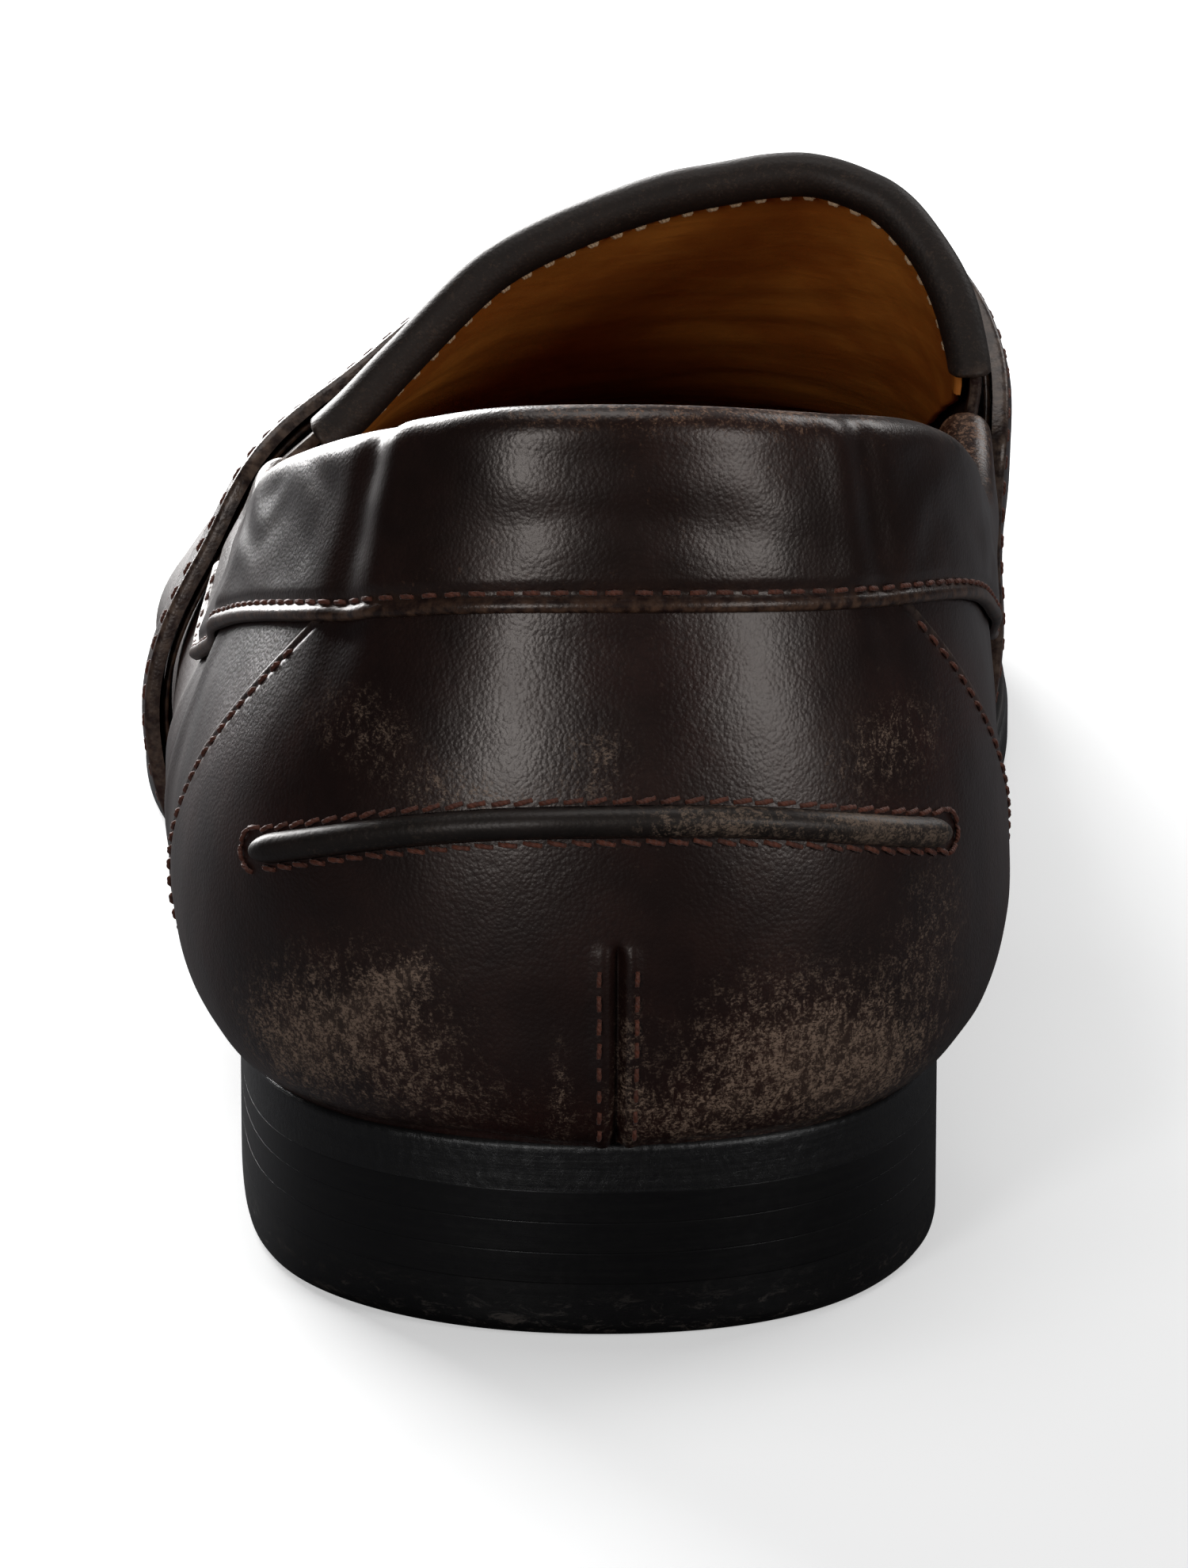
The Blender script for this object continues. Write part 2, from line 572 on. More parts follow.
def sharp_auto(ob, angle=50):
    me = ob.data
    bm = bmesh.new(); bm.from_mesh(me)
    a = math.radians(angle)
    for e in bm.edges:
        if len(e.link_faces) == 2 and e.calc_face_angle(0) > a:
            e.smooth = False
    bm.to_mesh(me); bm.free()


# ---------- stitches ----------
def stitch_run(P, N, pitch, length, r, lift=0.35, slant=0.0, across=0.0, start=0.5, seed=0, twist=True, dip=0.5):
    """Single stitches along a path. P points on the surface, N unit directions into it. across > 0 turns each stitch
    across the path by that length instead of along it."""
    s = np.r_[0, np.cumsum(np.linalg.norm(np.diff(P, axis=0), axis=1))]
    rng = np.random.RandomState(seed)
    at = np.arange(start * pitch, s[-1] - 0.3 * pitch, pitch)
    V = []; F = []; A1 = []
    seg = 9; ns = 8
    c = lambda q, X: np.stack([np.interp(q, s, X[:, k]) for k in range(3)], -1)
    for q0 in at:
        q0 = q0 + rng.uniform(-0.04, 0.04) * pitch
        p, n = c(q0, P), unit(c(q0, N))
        tg = unit(c(min(q0 + 0.4, s[-1]), P) - c(max(q0 - 0.4, 0), P))
        sd = unit(np.cross(tg, n))
        sl = slant + rng.uniform(-0.06, 0.06)
        if across:
            main = unit(sd * math.cos(sl) + tg * math.sin(sl)); half = across / 2
        else:
            main = unit(tg * math.cos(sl) + sd * math.sin(sl)); half = length / 2
        lat = unit(np.cross(main, n))
        base = len(V)
        for i in range(seg):
            a = -1 + 2 * i / (seg - 1)
            h = lift * (1 - abs(a) ** 2.6) - dip * abs(a) ** 6
            if across:
                h += across * 0.0
            ctr = p + main * half * a * (1 - 0.06 * abs(a) ** 4) - n * h
            rr = r * (1.0 - 0.25 * abs(a) ** 5) * (1 + 0.05 * rng.uniform(-1, 1))
            for j in range(ns):
                b = 2 * math.pi * j / ns
                k = 1.0
                if twist:
                    k = 1 + 0.13 * math.cos(2 * (b - a * 3.4))
                V.append(ctr + (lat * math.cos(b) * 1.05 - n * math.sin(b)) * rr * k); A1.append((rng.uniform() if j == 0 else A1[-1]))
        for i in range(seg - 1):
            for j in range(ns):
                j2 = (j + 1) % ns
                F.append([base + i * ns + j, base + i * ns + j2, base + (i + 1) * ns + j2, base + (i + 1) * ns + j])
        F.append([base + j for j in range(ns)][::-1]); F.append([base + (seg - 1) * ns + j for j in range(ns)])
    return np.array(V), F, np.array(A1)


def stitches(name, runs, **kw):
    V = []; F = []; A1 = []; off = 0
    for k, (P, N, opt) in enumerate(runs):
        o = dict(kw); o.update(opt)
        v, f, a = stitch_run(P, N, seed=k + 1, **o)
        V.append(v); A1.append(a); F += [[i + off for i in q] for q in f]; off += len(v)
    V = np.concatenate(V)
    ob = new_object(name, put(V), F, {"tone": np.concatenate(A1)})
    fix_normals(ob)
    return ob


def holes_row():
    pass


# ---------- materials: all node-made, coordinates in millimetres ----------
def lin(r, g, b):
    f = lambda c: (c / 255 / 12.92) if c <= 10.3 else ((c / 255 + 0.055) / 1.055) ** 2.4
    return (f(r), f(g), f(b), 1.0)


class Mat:
    def __init__(s, name):
        s.m = bpy.data.materials.new(name); s.m.use_nodes = True
        s.t = s.m.node_tree; s.t.nodes.clear()
        s.out = s.add('ShaderNodeOutputMaterial'); s.b = s.add('ShaderNodeBsdfPrincipled')
        s.link(s.b.outputs[0], s.out.inputs[0])
        tc = s.add('ShaderNodeTexCoord')
        sc = s.add('ShaderNodeVectorMath', operation='SCALE'); s.link(tc.outputs['Object'], sc.inputs[0]); sc.inputs['Scale'].default_value = 1000
        s.co = sc.outputs[0]
        s.nrm = None

    def add(s, kind, **kw):
        n = s.t.nodes.new(kind)
        for k, v in kw.items():
            setattr(n, k, v)
        return n

    def link(s, a, b):
        s.t.links.new(a, b)

    def put(s, sock, v):
        if isinstance(v, bpy.types.NodeSocket):
            s.link(v, sock)
        else:
            sock.default_value = v

    def stretch(s, x, y, z, co=None):
        n = s.add('ShaderNodeVectorMath', operation='MULTIPLY'); s.link(co or s.co, n.inputs[0]); n.inputs[1].default_value = (x, y, z)
        return n.outputs[0]

    def noise(s, scale, detail=4, rough=0.55, dist=0.0, co=None):
        n = s.add('ShaderNodeTexNoise'); s.link(co or s.co, n.inputs['Vector'])
        n.inputs['Scale'].default_value = scale; n.inputs['Detail'].default_value = detail
        n.inputs['Roughness'].default_value = rough; n.inputs['Distortion'].default_value = dist
        return n.outputs['Fac']

    def cells(s, scale, feature='F1', smooth=0.35, co=None, rnd=1.0):
        n = s.add('ShaderNodeTexVoronoi', feature=feature); s.link(co or s.co, n.inputs['Vector'])
        n.inputs['Scale'].default_value = scale; n.inputs['Randomness'].default_value = rnd
        if feature == 'SMOOTH_F1':
            n.inputs['Smoothness'].default_value = smooth
        return n.outputs['Distance']

    def attr(s, name):
        return s.add('ShaderNodeAttribute', attribute_name=name).outputs['Fac']

    def math(s, op, a, b=0.0, c=0.0, clamp=False):
        n = s.add('ShaderNodeMath', operation=op, use_clamp=clamp)
        for k, v in enumerate((a, b, c)):
            s.put(n.inputs[k], v)
        return n.outputs[0]

    def mapr(s, x, a, b, c=0.0, d=1.0):
        n = s.add('ShaderNodeMapRange', interpolation_type='SMOOTHSTEP'); s.put(n.inputs[0], x)
        for k, v in enumerate((a, b, c, d)):
            n.inputs[k + 1].default_value = v
        return n.outputs[0]

    def mix(s, f, a, b):
        n = s.add('ShaderNodeMix', data_type='RGBA')
        s.put(n.inputs[0], f); s.put(n.inputs[6], a); s.put(n.inputs[7], b)
        return n.outputs[2]

    def xyz(s, co=None):
        n = s.add('ShaderNodeSeparateXYZ'); s.link(co or s.co, n.inputs[0])
        return n.outputs

    def bump(s, h, strength, dist_mm):
        n = s.add('ShaderNodeBump'); s.put(n.inputs['Height'], h)
        n.inputs['Strength'].default_value = strength; n.inputs['Distance'].default_value = dist_mm * 0.001
        if s.nrm is not None:
            s.link(s.nrm, n.inputs['Normal'])
        s.nrm = n.outputs[0]
        return s.nrm

    def done(s, color, rough, **kw):
        s.put(s.b.inputs['Base Color'], color); s.put(s.b.inputs['Roughness'], rough)
        for k, v in kw.items():
            s.put(s.b.inputs[k.replace('_', ' ')], v)
        if s.nrm is not None:
            s.link(s.nrm, s.b.inputs['Normal'])
            if 'Coat_Weight' in kw:
                s.link(s.nrm, s.b.inputs['Coat Normal'])
        return s.m


def leather(name, deep, body, warm, taupe, rough=0.42, grain=1.0, coat=0.18, scuff=1.0, spec=0.46):
    """Pebbled full-grain upper leather: creased cells, dye that pools and fades, taupe speckled scuffs, edges rubbed pale."""
    s = Mat(name)
    wob = s.noise(0.12, 3, 0.6)
    cell = s.cells(2.5, 'SMOOTH_F1', 0.35)
    fine = s.cells(5.0, 'F1')
    wr = s.noise(0.42, 4, 0.5, 0.5)
    hair = s.noise(3.2, 3, 0.6)
    h = s.math('ADD', s.math('MULTIPLY', cell, -0.55), s.math('MULTIPLY', fine, -0.16))
    h = s.math('ADD', h, s.math('MULTIPLY', wr, 0.26)); h = s.math('ADD', h, s.math('MULTIPLY', hair, 0.10))
    s.bump(h, 0.34 * grain, 0.13)
    s.bump(s.noise(0.13, 3, 0.5, 0.4), 0.14 * grain, 0.8)
    c = s.mix(s.mapr(wob, 0.35, 0.68), deep, body)
    c = s.mix(s.math('MULTIPLY', s.mapr(s.noise(0.035, 3, 0.6), 0.45, 0.7), 0.7), c, warm)
    c = s.mix(s.math('MULTIPLY', s.mapr(cell, 0.45, 0.85), 0.55), c, deep)
    # small pale flecks all over
    fl = s.math('MULTIPLY', s.mapr(s.noise(1.3, 5, 0.7), 0.60, 0.72), s.mapr(s.noise(0.07, 3, 0.5), 0.42, 0.62))
    c = s.mix(s.math('MULTIPLY', fl, 0.16 * scuff), c, taupe)
    # scuffs where the wear attribute says
    w = s.attr("wear")
    sp = s.math('MULTIPLY', s.mapr(s.noise(0.8, 9, 0.84, 0.5, s.stretch(1.25, 1.0, 0.8)), 0.44, 0.58), s.mapr(s.noise(3.4, 5, 0.8, 0.0, s.stretch(0.7, 0.7, 1.25)), 0.42, 0.58))
    sc_ = s.mapr(s.noise(1.1, 6, 0.8, 0.2, s.stretch(2.4, 1.0, 0.35)), 0.60, 0.68)
    sp = s.math('ADD', sp, s.math('MULTIPLY', sc_, 0.45), clamp=True)
    wm = s.math('MULTIPLY', s.mapr(s.math('MULTIPLY', w, s.math('ADD', sp, s.math('MULTIPLY', w, 0.25))), 0.10, 0.85), 0.98 * scuff, clamp=True)
    c = s.mix(wm, c, taupe)
    e = s.math('MULTIPLY', s.attr("edge"), s.mapr(s.noise(0.8, 4, 0.6), 0.35, 0.7))
    c = s.mix(s.math('MULTIPLY', e, 0.42), c, taupe)
    r = s.math('ADD', s.math('MULTIPLY', wob, 0.14), rough - 0.07)
    r = s.math('ADD', r, s.math('MULTIPLY', wm, 0.22), clamp=True)
    return s.done(c, r, Coat_Weight=coat, Coat_Roughness=0.28, Specular_IOR_Level=spec, Specular_Tint=(1.0, 0.90, 0.84, 1.0))


def lining(name, deep, body, pale, rough=0.6, wrinkle=1.0):
    """Unfinished tan calf: fine level wrinkles, darkened by wear, pores."""
    s = Mat(name)
    n1 = s.noise(0.5, 4, 0.5, 0.6, s.stretch(0.25, 0.25, 1.4)); n2 = s.noise(2.6, 4, 0.6)
    s.bump(s.math('ADD', s.math('MULTIPLY', n1, 1.0), s.math('MULTIPLY', n2, 0.18)), 0.5 * wrinkle, 0.35)
    c = s.mix(s.mapr(s.noise(0.06, 4, 0.6), 0.35, 0.68), deep, body)
    c = s.mix(s.math('MULTIPLY', s.mapr(n1, 0.5, 0.75), 0.18), c, pale)
    c = s.mix(s.math('MULTIPLY', s.attr("edge"), 0.5), c, deep)
    return s.done(c, s.math('ADD', s.math('MULTIPLY', n2, 0.2), rough - 0.1), Specular_IOR_Level=0.22, Specular_Tint=(1.0, 0.82, 0.6, 1.0))


def sole_mat(name, side, side2, floor, floor2):
    """Edge ink on the upright faces, worn tan leather on the tread."""
    s = Mat(name)
    g = s.add('ShaderNodeNewGeometry')
    nz = s.xyz(g.outputs['True Normal'])[2]
    down = s.math('MULTIPLY', s.mapr(nz, -0.97, -0.86, 1.0, 0.0), s.mapr(s.xyz()[1], -78.0, -74.0))
    fib = s.noise(0.8, 6, 0.65, 0.3, s.stretch(1, 0.35, 1)); layer = s.noise(0.7, 3, 0.5, 0.0, s.stretch(0.12, 0.12, 2.2))
    scr = s.noise(0.5, 6, 0.75, 1.4, s.stretch(2.2, 0.25, 1))
    s.bump(s.math('ADD', s.math('MULTIPLY', fib, 0.6), s.math('ADD', s.math('MULTIPLY', scr, 0.7), s.math('MULTIPLY', layer, 0.5))), 0.4, 0.25)
    cs = s.mix(s.mapr(layer, 0.4, 0.62), side, side2)
    cf = s.mix(s.mapr(s.noise(0.045, 4, 0.65), 0.38, 0.62), floor, floor2)
    cf = s.mix(s.math('MULTIPLY', s.mapr(scr, 0.55, 0.7), 0.55), cf, lin(88, 68, 48))
    c = s.mix(down, cs, cf)
    return s.done(c, s.math('ADD', s.math('MULTIPLY', down, 0.28), s.math('ADD', s.math('MULTIPLY', fib, 0.2), 0.26), clamp=True), Coat_Weight=0.12, Coat_Roughness=0.3)


def heel_mat(name, a, b, scuff, rough=0.3):
    """Stacked leather under black edge polish, scuffed at the ground."""
    s = Mat(name)
    z = s.xyz()[2]
    layer = s.noise(0.9, 4, 0.6, 0.2, s.stretch(0.10, 0.10, 1.8)); n = s.noise(0.9, 5, 0.65)
    s.bump(s.math('ADD', s.math('MULTIPLY', layer, 0.3), s.math('MULTIPLY', n, 0.5)), 0.16, 0.16)
    c = s.mix(s.mapr(layer, 0.42, 0.66), a, b)
    low = s.mapr(z, 0.6, 5.5, 1.0, 0.0)
    sc = s.math('MULTIPLY', s.math('ADD', low, 0.07), s.mapr(s.noise(0.7, 7, 0.8, 0.8, s.stretch(0.5, 0.5, 1.5)), 0.52, 0.66), clamp=True)
    c = s.mix(s.math('MULTIPLY', sc, 0.5), c, scuff)
    return s.done(c, s.math('ADD', s.math('MULTIPLY', sc, 0.35), s.math('ADD', s.math('MULTIPLY', n, 0.14), rough - 0.05), clamp=True), Coat_Weight=0.08, Coat_Roughness=0.2, Specular_IOR_Level=0.38)


def thread_mat(name, a, b, rough=0.6):
    s = Mat(name)
    t = s.attr("tone")
    tw = s.add('ShaderNodeTexWave', wave_type='BANDS', bands_direction='DIAGONAL'); s.link(s.co, tw.inputs['Vector'])
    tw.inputs['Scale'].default_value = 1.3; tw.inputs['Distortion'].default_value = 1.5
    s.bump(s.math('ADD', tw.outputs['Fac'], s.noise(4.0, 3, 0.6)), 0.5, 0.10)
    c = s.mix(s.math('ADD', s.math('MULTIPLY', t, 0.6), s.math('MULTIPLY', s.noise(1.2, 3, 0.6), 0.6), clamp=True), a, b)
    return s.done(c, s.math('ADD', s.math('MULTIPLY', tw.outputs['Fac'], 0.1), rough), Sheen_Weight=0.12)


def fibre_mat(name, a, b, rough=0.9, scale=1.0, h=0.5):
    """Board, felt, cork and stiffener: mottled and matt."""
    s = Mat(name)
    n = s.noise(0.7 * scale, 6, 0.7, 0.5); v = s.cells(0.6 * scale)
    s.bump(s.math('ADD', n, s.math('MULTIPLY', v, -0.5)), h, 0.4)
    c = s.mix(s.mapr(n, 0.38, 0.64), a, b)
    c = s.mix(s.math('MULTIPLY', s.mapr(v, 0.0, 0.5, 1.0, 0.0), 0.3), c, b)
    return s.done(c, s.math('ADD', s.math('MULTIPLY', n, 0.1), rough - 0.05, clamp=True), Sheen_Weight=0.1)


def metal_mat(name, a, b, rough=0.35):
    s = Mat(name)
    n = s.noise(0.9, 5, 0.7, 0.4, s.stretch(1, 0.2, 1)); f = s.noise(5.0, 3, 0.6)
    s.bump(s.math('ADD', n, s.math('MULTIPLY', f, 0.3)), 0.25, 0.1)
    c = s.mix(s.mapr(n, 0.4, 0.65), a, b)
    return s.done(c, s.math('ADD', s.math('MULTIPLY', n, 0.25), rough - 0.1), Metallic=0.95)


DEEP, BODY, WARM, TAUPE = lin(28, 14, 12), lin(39, 21, 17), lin(52, 24, 19), lin(142, 119, 102)
M = {
    "upper": leather("upper_leather_look", DEEP, BODY, WARM, TAUPE, rough=0.36, coat=0.15),
    "vamp": leather("vamp_leather_look", DEEP, BODY, WARM, TAUPE, rough=0.54, grain=1.25, coat=0.0, spec=0.26),
    "collar": leather("collar_leather_look", lin(28, 15, 12), lin(38, 21, 17), lin(50, 27, 21), lin(140, 104, 80), rough=0.35, grain=0.9, coat=0.12, scuff=1.1),
    "binding": leather("binding_leather_look", lin(19, 13, 11), lin(27, 19, 16), lin(36, 25, 20), lin(98, 78, 64), rough=0.58, grain=1.0, coat=0.03, scuff=1.0),
    "bead": leather("bead_leather_look", lin(18, 14, 12), lin(29, 22, 20), lin(42, 31, 26), lin(112, 94, 80), rough=0.5, grain=0.8, coat=0.1, scuff=1.2),
    "lining": lining("lining_leather_look", lin(166, 94, 34), lin(196, 124, 50), lin(212, 146, 72), 0.6, 0.7),
    "sock": lining("sock_leather_look", lin(92, 60, 34), lin(134, 92, 56), lin(160, 118, 80), 0.55, 0.5),
    "suede": lining("heel_grip_suede_look", lin(132, 86, 40), lin(160, 110, 56), lin(178, 128, 76), 0.8, 0.4),
    "insole": lining("insole_leather_look", lin(150, 112, 76), lin(178, 140, 100), lin(196, 160, 122), 0.7, 0.5),
    "sole": sole_mat("sole_leather_look", lin(9, 8, 9), lin(15, 14, 14), lin(158, 122, 84), lin(120, 88, 58)),
    "rand": leather("rand_leather_look", lin(15, 13, 13), lin(24, 20, 19), lin(30, 23, 21), lin(80, 68, 60), rough=0.38, grain=0.4, coat=0.2, scuff=0.7),
    "heel": heel_mat("heel_leather_look", lin(9, 8, 9), lin(14, 13, 13), lin(60, 53, 48)),
    "rubber": heel_mat("heel_rubber_look", lin(9, 8, 9), lin(14, 13, 13), lin(70, 62, 56), 0.34),
    "stiffener": fibre_mat("stiffener_look", lin(176, 160, 134), lin(146, 128, 100)),
    "cork": fibre_mat("cork_look", lin(156, 110, 66), lin(98, 62, 34), 0.9, 1.6, 0.8),
    "thread": thread_mat("thread_look", lin(58, 27, 17), lin(108, 54, 33)),
    "pale_thread": thread_mat("lining_thread_look", lin(176, 140, 100), lin(226, 200, 164)),
    "steel": metal_mat("steel_look", (0.42, 0.43, 0.45, 1), (0.22, 0.22, 0.24, 1)),
    "brass": metal_mat("brass_look", (0.62, 0.44, 0.18, 1), (0.36, 0.24, 0.10, 1)),
}


# ---------- pieces ----------
def piece(ob, nodes, mat):
    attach(ob, "root"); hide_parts(*nodes)
    ob.data.materials.clear(); ob.data.materials.append(M[mat])
    return ob


K = 1.0
cnt = lambda x: max(int(x * K), 5)
BACK_L, BACK_R = u_at_y(14.0, -1), u_at_y(17.0, 1)
FOOT_L, FOOT_R = u_at_y(60.0, -1), u_at_y(60.0, 1)
MM = 1 / 640.0                                  # about one millimetre along the feather line


def counter_edge(v, side):
    a, b = (FOOT_L, BACK_L) if side < 0 else (FOOT_R, BACK_R)
    q = np.clip(v / 0.80, 0, 1)
    return a + (b - a) * (q ** 1.35)


def collar_depth(u):
    y = L.wall(u, np.ones_like(u))[:, 1]
    return pchip(y, [4, 20, 50, 80, 104], [15.5, 14.8, 13.2, 12.0, 9.8])


u_all = np.linspace(UM - 1.0, UL, 121)
v_all = v_at_z(u_all, L.wall(u_all, np.ones_like(u_all))[:, 2] - collar_depth(u_all))
collar_v = lambda u: np.interp(u, u_all, v_all)


def blobs(P, spots):
    """Scuff mask: sum of soft spots (x, z, half width, half height, strength, tilt) seen from the back."""
    x, z, y = P[..., 0], P[..., 2], P[..., 1]
    w = 0
    for cx, cz, a, b, k, tl in spots:
        c, s_ = math.cos(tl), math.sin(tl)
        p = (x - cx) * c + (z - cz) * s_; q = -(x - cx) * s_ + (z - cz) * c
        w = w + k * np.exp(-(p / a) ** 2 - (q / b) ** 2)
    return np.clip(w, 0, 1)


SPOTS = [(-21, 29, 10, 8, 0.85, 0.2), (-18, 33.5, 4.4, 1.3, 1.0, 0.72), (-28, 24, 5, 6, 0.6, 0), (-12, 22, 8, 4, 0.45, 0), (17, 28, 10, 8.5, 0.85, 0.15), (25, 23, 6, 6, 0.95, 0.3),
         (8, 21, 8, 4, 0.6, 0), (3.2, 27, 1.6, 8, 0.5, 0), (-3, 24, 1.2, 8, 0.4, 0), (-21, 56, 6.5, 4.2, 0.55, 0), (-12, 52, 6, 2.5, 0.4, 0), (0, 55, 5, 4.2, 0.5, 0), (26, 53, 7, 4.6, 0.6, 0),
         (31, 36, 4, 10, 0.45, 0), (-9, 50, 10, 3, 0.3, 0)]


def layer(name, U, V, d, t, R=0.5, sides=(1, 1, 1, 1), bend=None, wear=None):
    """A leather part of the wall: outer face at depth d, thickness t."""
    P = W(U, V, d); N = unit(W(U, V, d + 1.0) - P)
    if bend is not None:
        P = P - N * bend(U, V, P)[..., None]
    P[..., 2] = P[..., 2] - 0.75 * (1 - smoothstep(V / 0.035))
    w = wear(P) if wear is not None else None
    return shell(name, P, N, t, sides, R, wear=w)


# counter cover, with its short dart at the back
hv = ramp(cnt(150), 78)
_w = ramp(cnt(300), 130) * 2 - 1
gu = np.unique(np.round(np.concatenate([_w[np.abs(_w) > 0.075], np.linspace(-0.075, 0.075, 75)]), 6))
V = 0.988 * hv[None, :] + 0 * gu[:, None]
er_, el_ = counter_edge(V / 0.988, 1), counter_edge(V / 0.988, -1)
U = np.where(gu[:, None] < 0, er_ * -gu[:, None], el_ * gu[:, None])


def cover_bend(U, V, P):
    um = (U + 0.5) % 1.0 - 0.5
    k = smoothstep((0.300 - V) / 0.022)
    b = k * (-1.15 * np.exp(-(np.abs(um) / MM / 0.42) ** 1.6) + 0.30 * gauss(np.abs(um) / MM, 1.15, 0.75))
    for side, e in ((-1, el_), (1, er_)):
        dd = np.abs(U - e) / MM
        b = b - 0.14 * gauss(dd, 1.9, 0.55) + 0.06 * gauss(dd, 0.9, 0.6)
    # long soft wrinkles, lower corners bag a little
    z = P[..., 2]; x = P[..., 0]
    b = b + 0.30 * gauss(z, 30, 5) * vnoise(P, 17, 31) + 0.35 * gauss(z, 18, 7) * vnoise(P, 13, 44)
    b = b + 0.16 * np.sin(z / 1.9 + 3 * vnoise(P, 22, 8)) * smoothstep((vnoise(P, 25, 12) - 0.05) / 0.4)
    return b * smoothstep(V / 0.03)


cover = layer("heel_counter_cover_leather", U, V, -0.30, 1.42, 0.55, (1, 1, 0, 1), cover_bend, lambda P: blobs(P, SPOTS) * (P[..., 1] < 62))
piece(cover, ["heel_counter_cover"], "upper")

# quarters run a little way under the counter cover
for side, name in ((-1, "quarter_lateral"), (1, "quarter_medial")):
    gq = ramp(cnt(240), 110)
    V = 0.988 * hv[None, :] + 0 * gq[:, None]
    e = counter_edge(V / 0.988, side) + side * 3.0 * MM
    far = (UL + 0.020) if side < 0 else (UM - 1.0 - 0.020)
    U = (e + (far - e) * gq[:, None]) if side < 0 else (far + (e - far) * gq[:, None])
    q = layer(name + "_leather", U, V, 0.14, 1.08, 0.4, wear=lambda P: 0.35 * gauss(P[..., 2], 20, 7) + 0.0 * P[..., 0])
    piece(q, [name], "upper")

# vamp
gv, hv2 = ramp(cnt(620), 440), ramp(cnt(80), 36)
U = (UL + 0.0215 + (UM - 0.0215 - UL - 0.0215) * gv)[:, None] + 0 * hv2[None, :]
V = 0.994 * hv2[None, :] + 0 * U


def vamp_bend(U, V, P):
    pk = 0.22 * np.sin(2 * np.pi * seam_len(U) / 4.0) * smoothstep((V - 0.72) / 0.25)
    return pk + 0.25 * gauss(V, 0.80, 0.12)


_qs = np.linspace(0, 1, 1600)
_qp = L.wall(UL + (UM - UL) * _qs, np.ones(1600)); _ql = np.r_[0, np.cumsum(np.linalg.norm(np.diff(_qp, axis=0), axis=1))]
seam_len = lambda u: np.interp(np.asarray(u) % 1.0, UL + (UM - UL) * _qs, _ql)
vamp = layer("vamp_leather", U, V, 0.10, 1.12, 0.4, bend=vamp_bend,
             wear=lambda P: np.clip(0.7 * gauss(P[..., 2], 9, 6) * smoothstep((P[..., 1] - 240) / 35) + 0.25 * gauss(P[..., 1], 196, 18), 0, 1))
piece(vamp, ["vamp"], "vamp")

# apron
gs, ht = ramp(cnt(260), 160), ramp(cnt(170), 74)
S = 0.982 * gs[:, None] + 0 * ht[None, :]; T = 0.004 + 0.992 * ht[None, :] + 0 * S
P = A(S, T, 0.06); N = unit(A(S, T, 1.06) - P)
d_e = edge_distance(P, (0, 0, 1, 1))
ul_, um_ = L.us(S)
side_len = np.where(T < 0.5, seam_len(ul_), seam_len(um_))
P = P - N * (0.20 * np.sin(2 * np.pi * side_len / 4.0) * np.exp(-d_e / 2.6) * smoothstep((S - 0.2) / 0.05) + 0.22 * gauss(d_e, 3.4, 2.0) * smoothstep((S - 0.2) / 0.05))[..., None]
ap = shell("apron_leather", P, N, 1.15, (1, 1, 1, 1), 0.4, wear=0.30 * gauss(P[..., 1], 196, 16) * (0.5 + 0.5 * vnoise(P, 12, 5)))
piece(ap, ["apron"], "vamp")

# linings: the face seen is the inner one
def inner_layer(name, nodes, U, V, d0, d1, mat, R=0.3, amp=0.12):
    P = W(U, V, d1); N = unit(W(U, V, d1 - 1.0) - P)
    P = P - N * (amp * np.sin(P[..., 2] / 1.15 + 2.5 * vnoise(P, 16, 61)) * (0.5 + 0.5 * vnoise(P, 11, 17)))[..., None]
    piece(shell(name, P, N, d1 - d0, (1, 1, 1, 1), R), nodes, mat)


g, h = ramp(cnt(420), 260), ramp(cnt(120), 66)
U = (UM - 1.0 + 0.001 + (UL - UM + 1.0 - 0.002) * g)[:, None] + 0 * h[None, :]
inner_layer("quarter_lining_leather", ["quarter_lining"], U, 0.02 + 0.965 * h[None, :] + 0 * U, LINING_IN, LINING_OUT, "lining")
g, h = ramp(cnt(420), 400), ramp(cnt(40), 34)
U = (UL + 0.001 + (UM - UL - 0.002) * g)[:, None] + 0 * h[None, :]
inner_layer("vamp_lining_leather", ["vamp_lining"], U, 0.15 + 0.82 * h[None, :] + 0 * U, LINING_IN, LINING_OUT, "lining")
g, h = ramp(cnt(60), 40), ramp(cnt(60), 46)
U = (u_at_y(20, 1) + (u_at_y(20, -1) - u_at_y(20, 1)) * g)[:, None] + 0 * h[None, :]
inner_layer("heel_grip_suede", ["heel_grip"], U, 0.16 + 0.62 * h[None, :] + 0 * U, 2.95, 3.55, "suede", amp=0.05)
g, h = ramp(cnt(240), 140), ramp(cnt(160), 96)
S = 0.003 + 0.952 * g[:, None] + 0 * h[None, :]; T = 0.03 + 0.94 * h[None, :] + 0 * S
P = A(S, T, LINING_OUT); N = unit(A(S, T, LINING_OUT - 1.0) - P)
P = P - N * (0.16 * np.sin(P[..., 2] / 0.95 + 3 * vnoise(P, 18, 71)) * (0.5 + 0.5 * vnoise(P, 12, 19)))[..., None]
piece(shell("tongue_lining_leather", P, N, LINING_OUT - LINING_IN, (1, 1, 1, 1), 0.3), ["tongue_lining"], "lining")


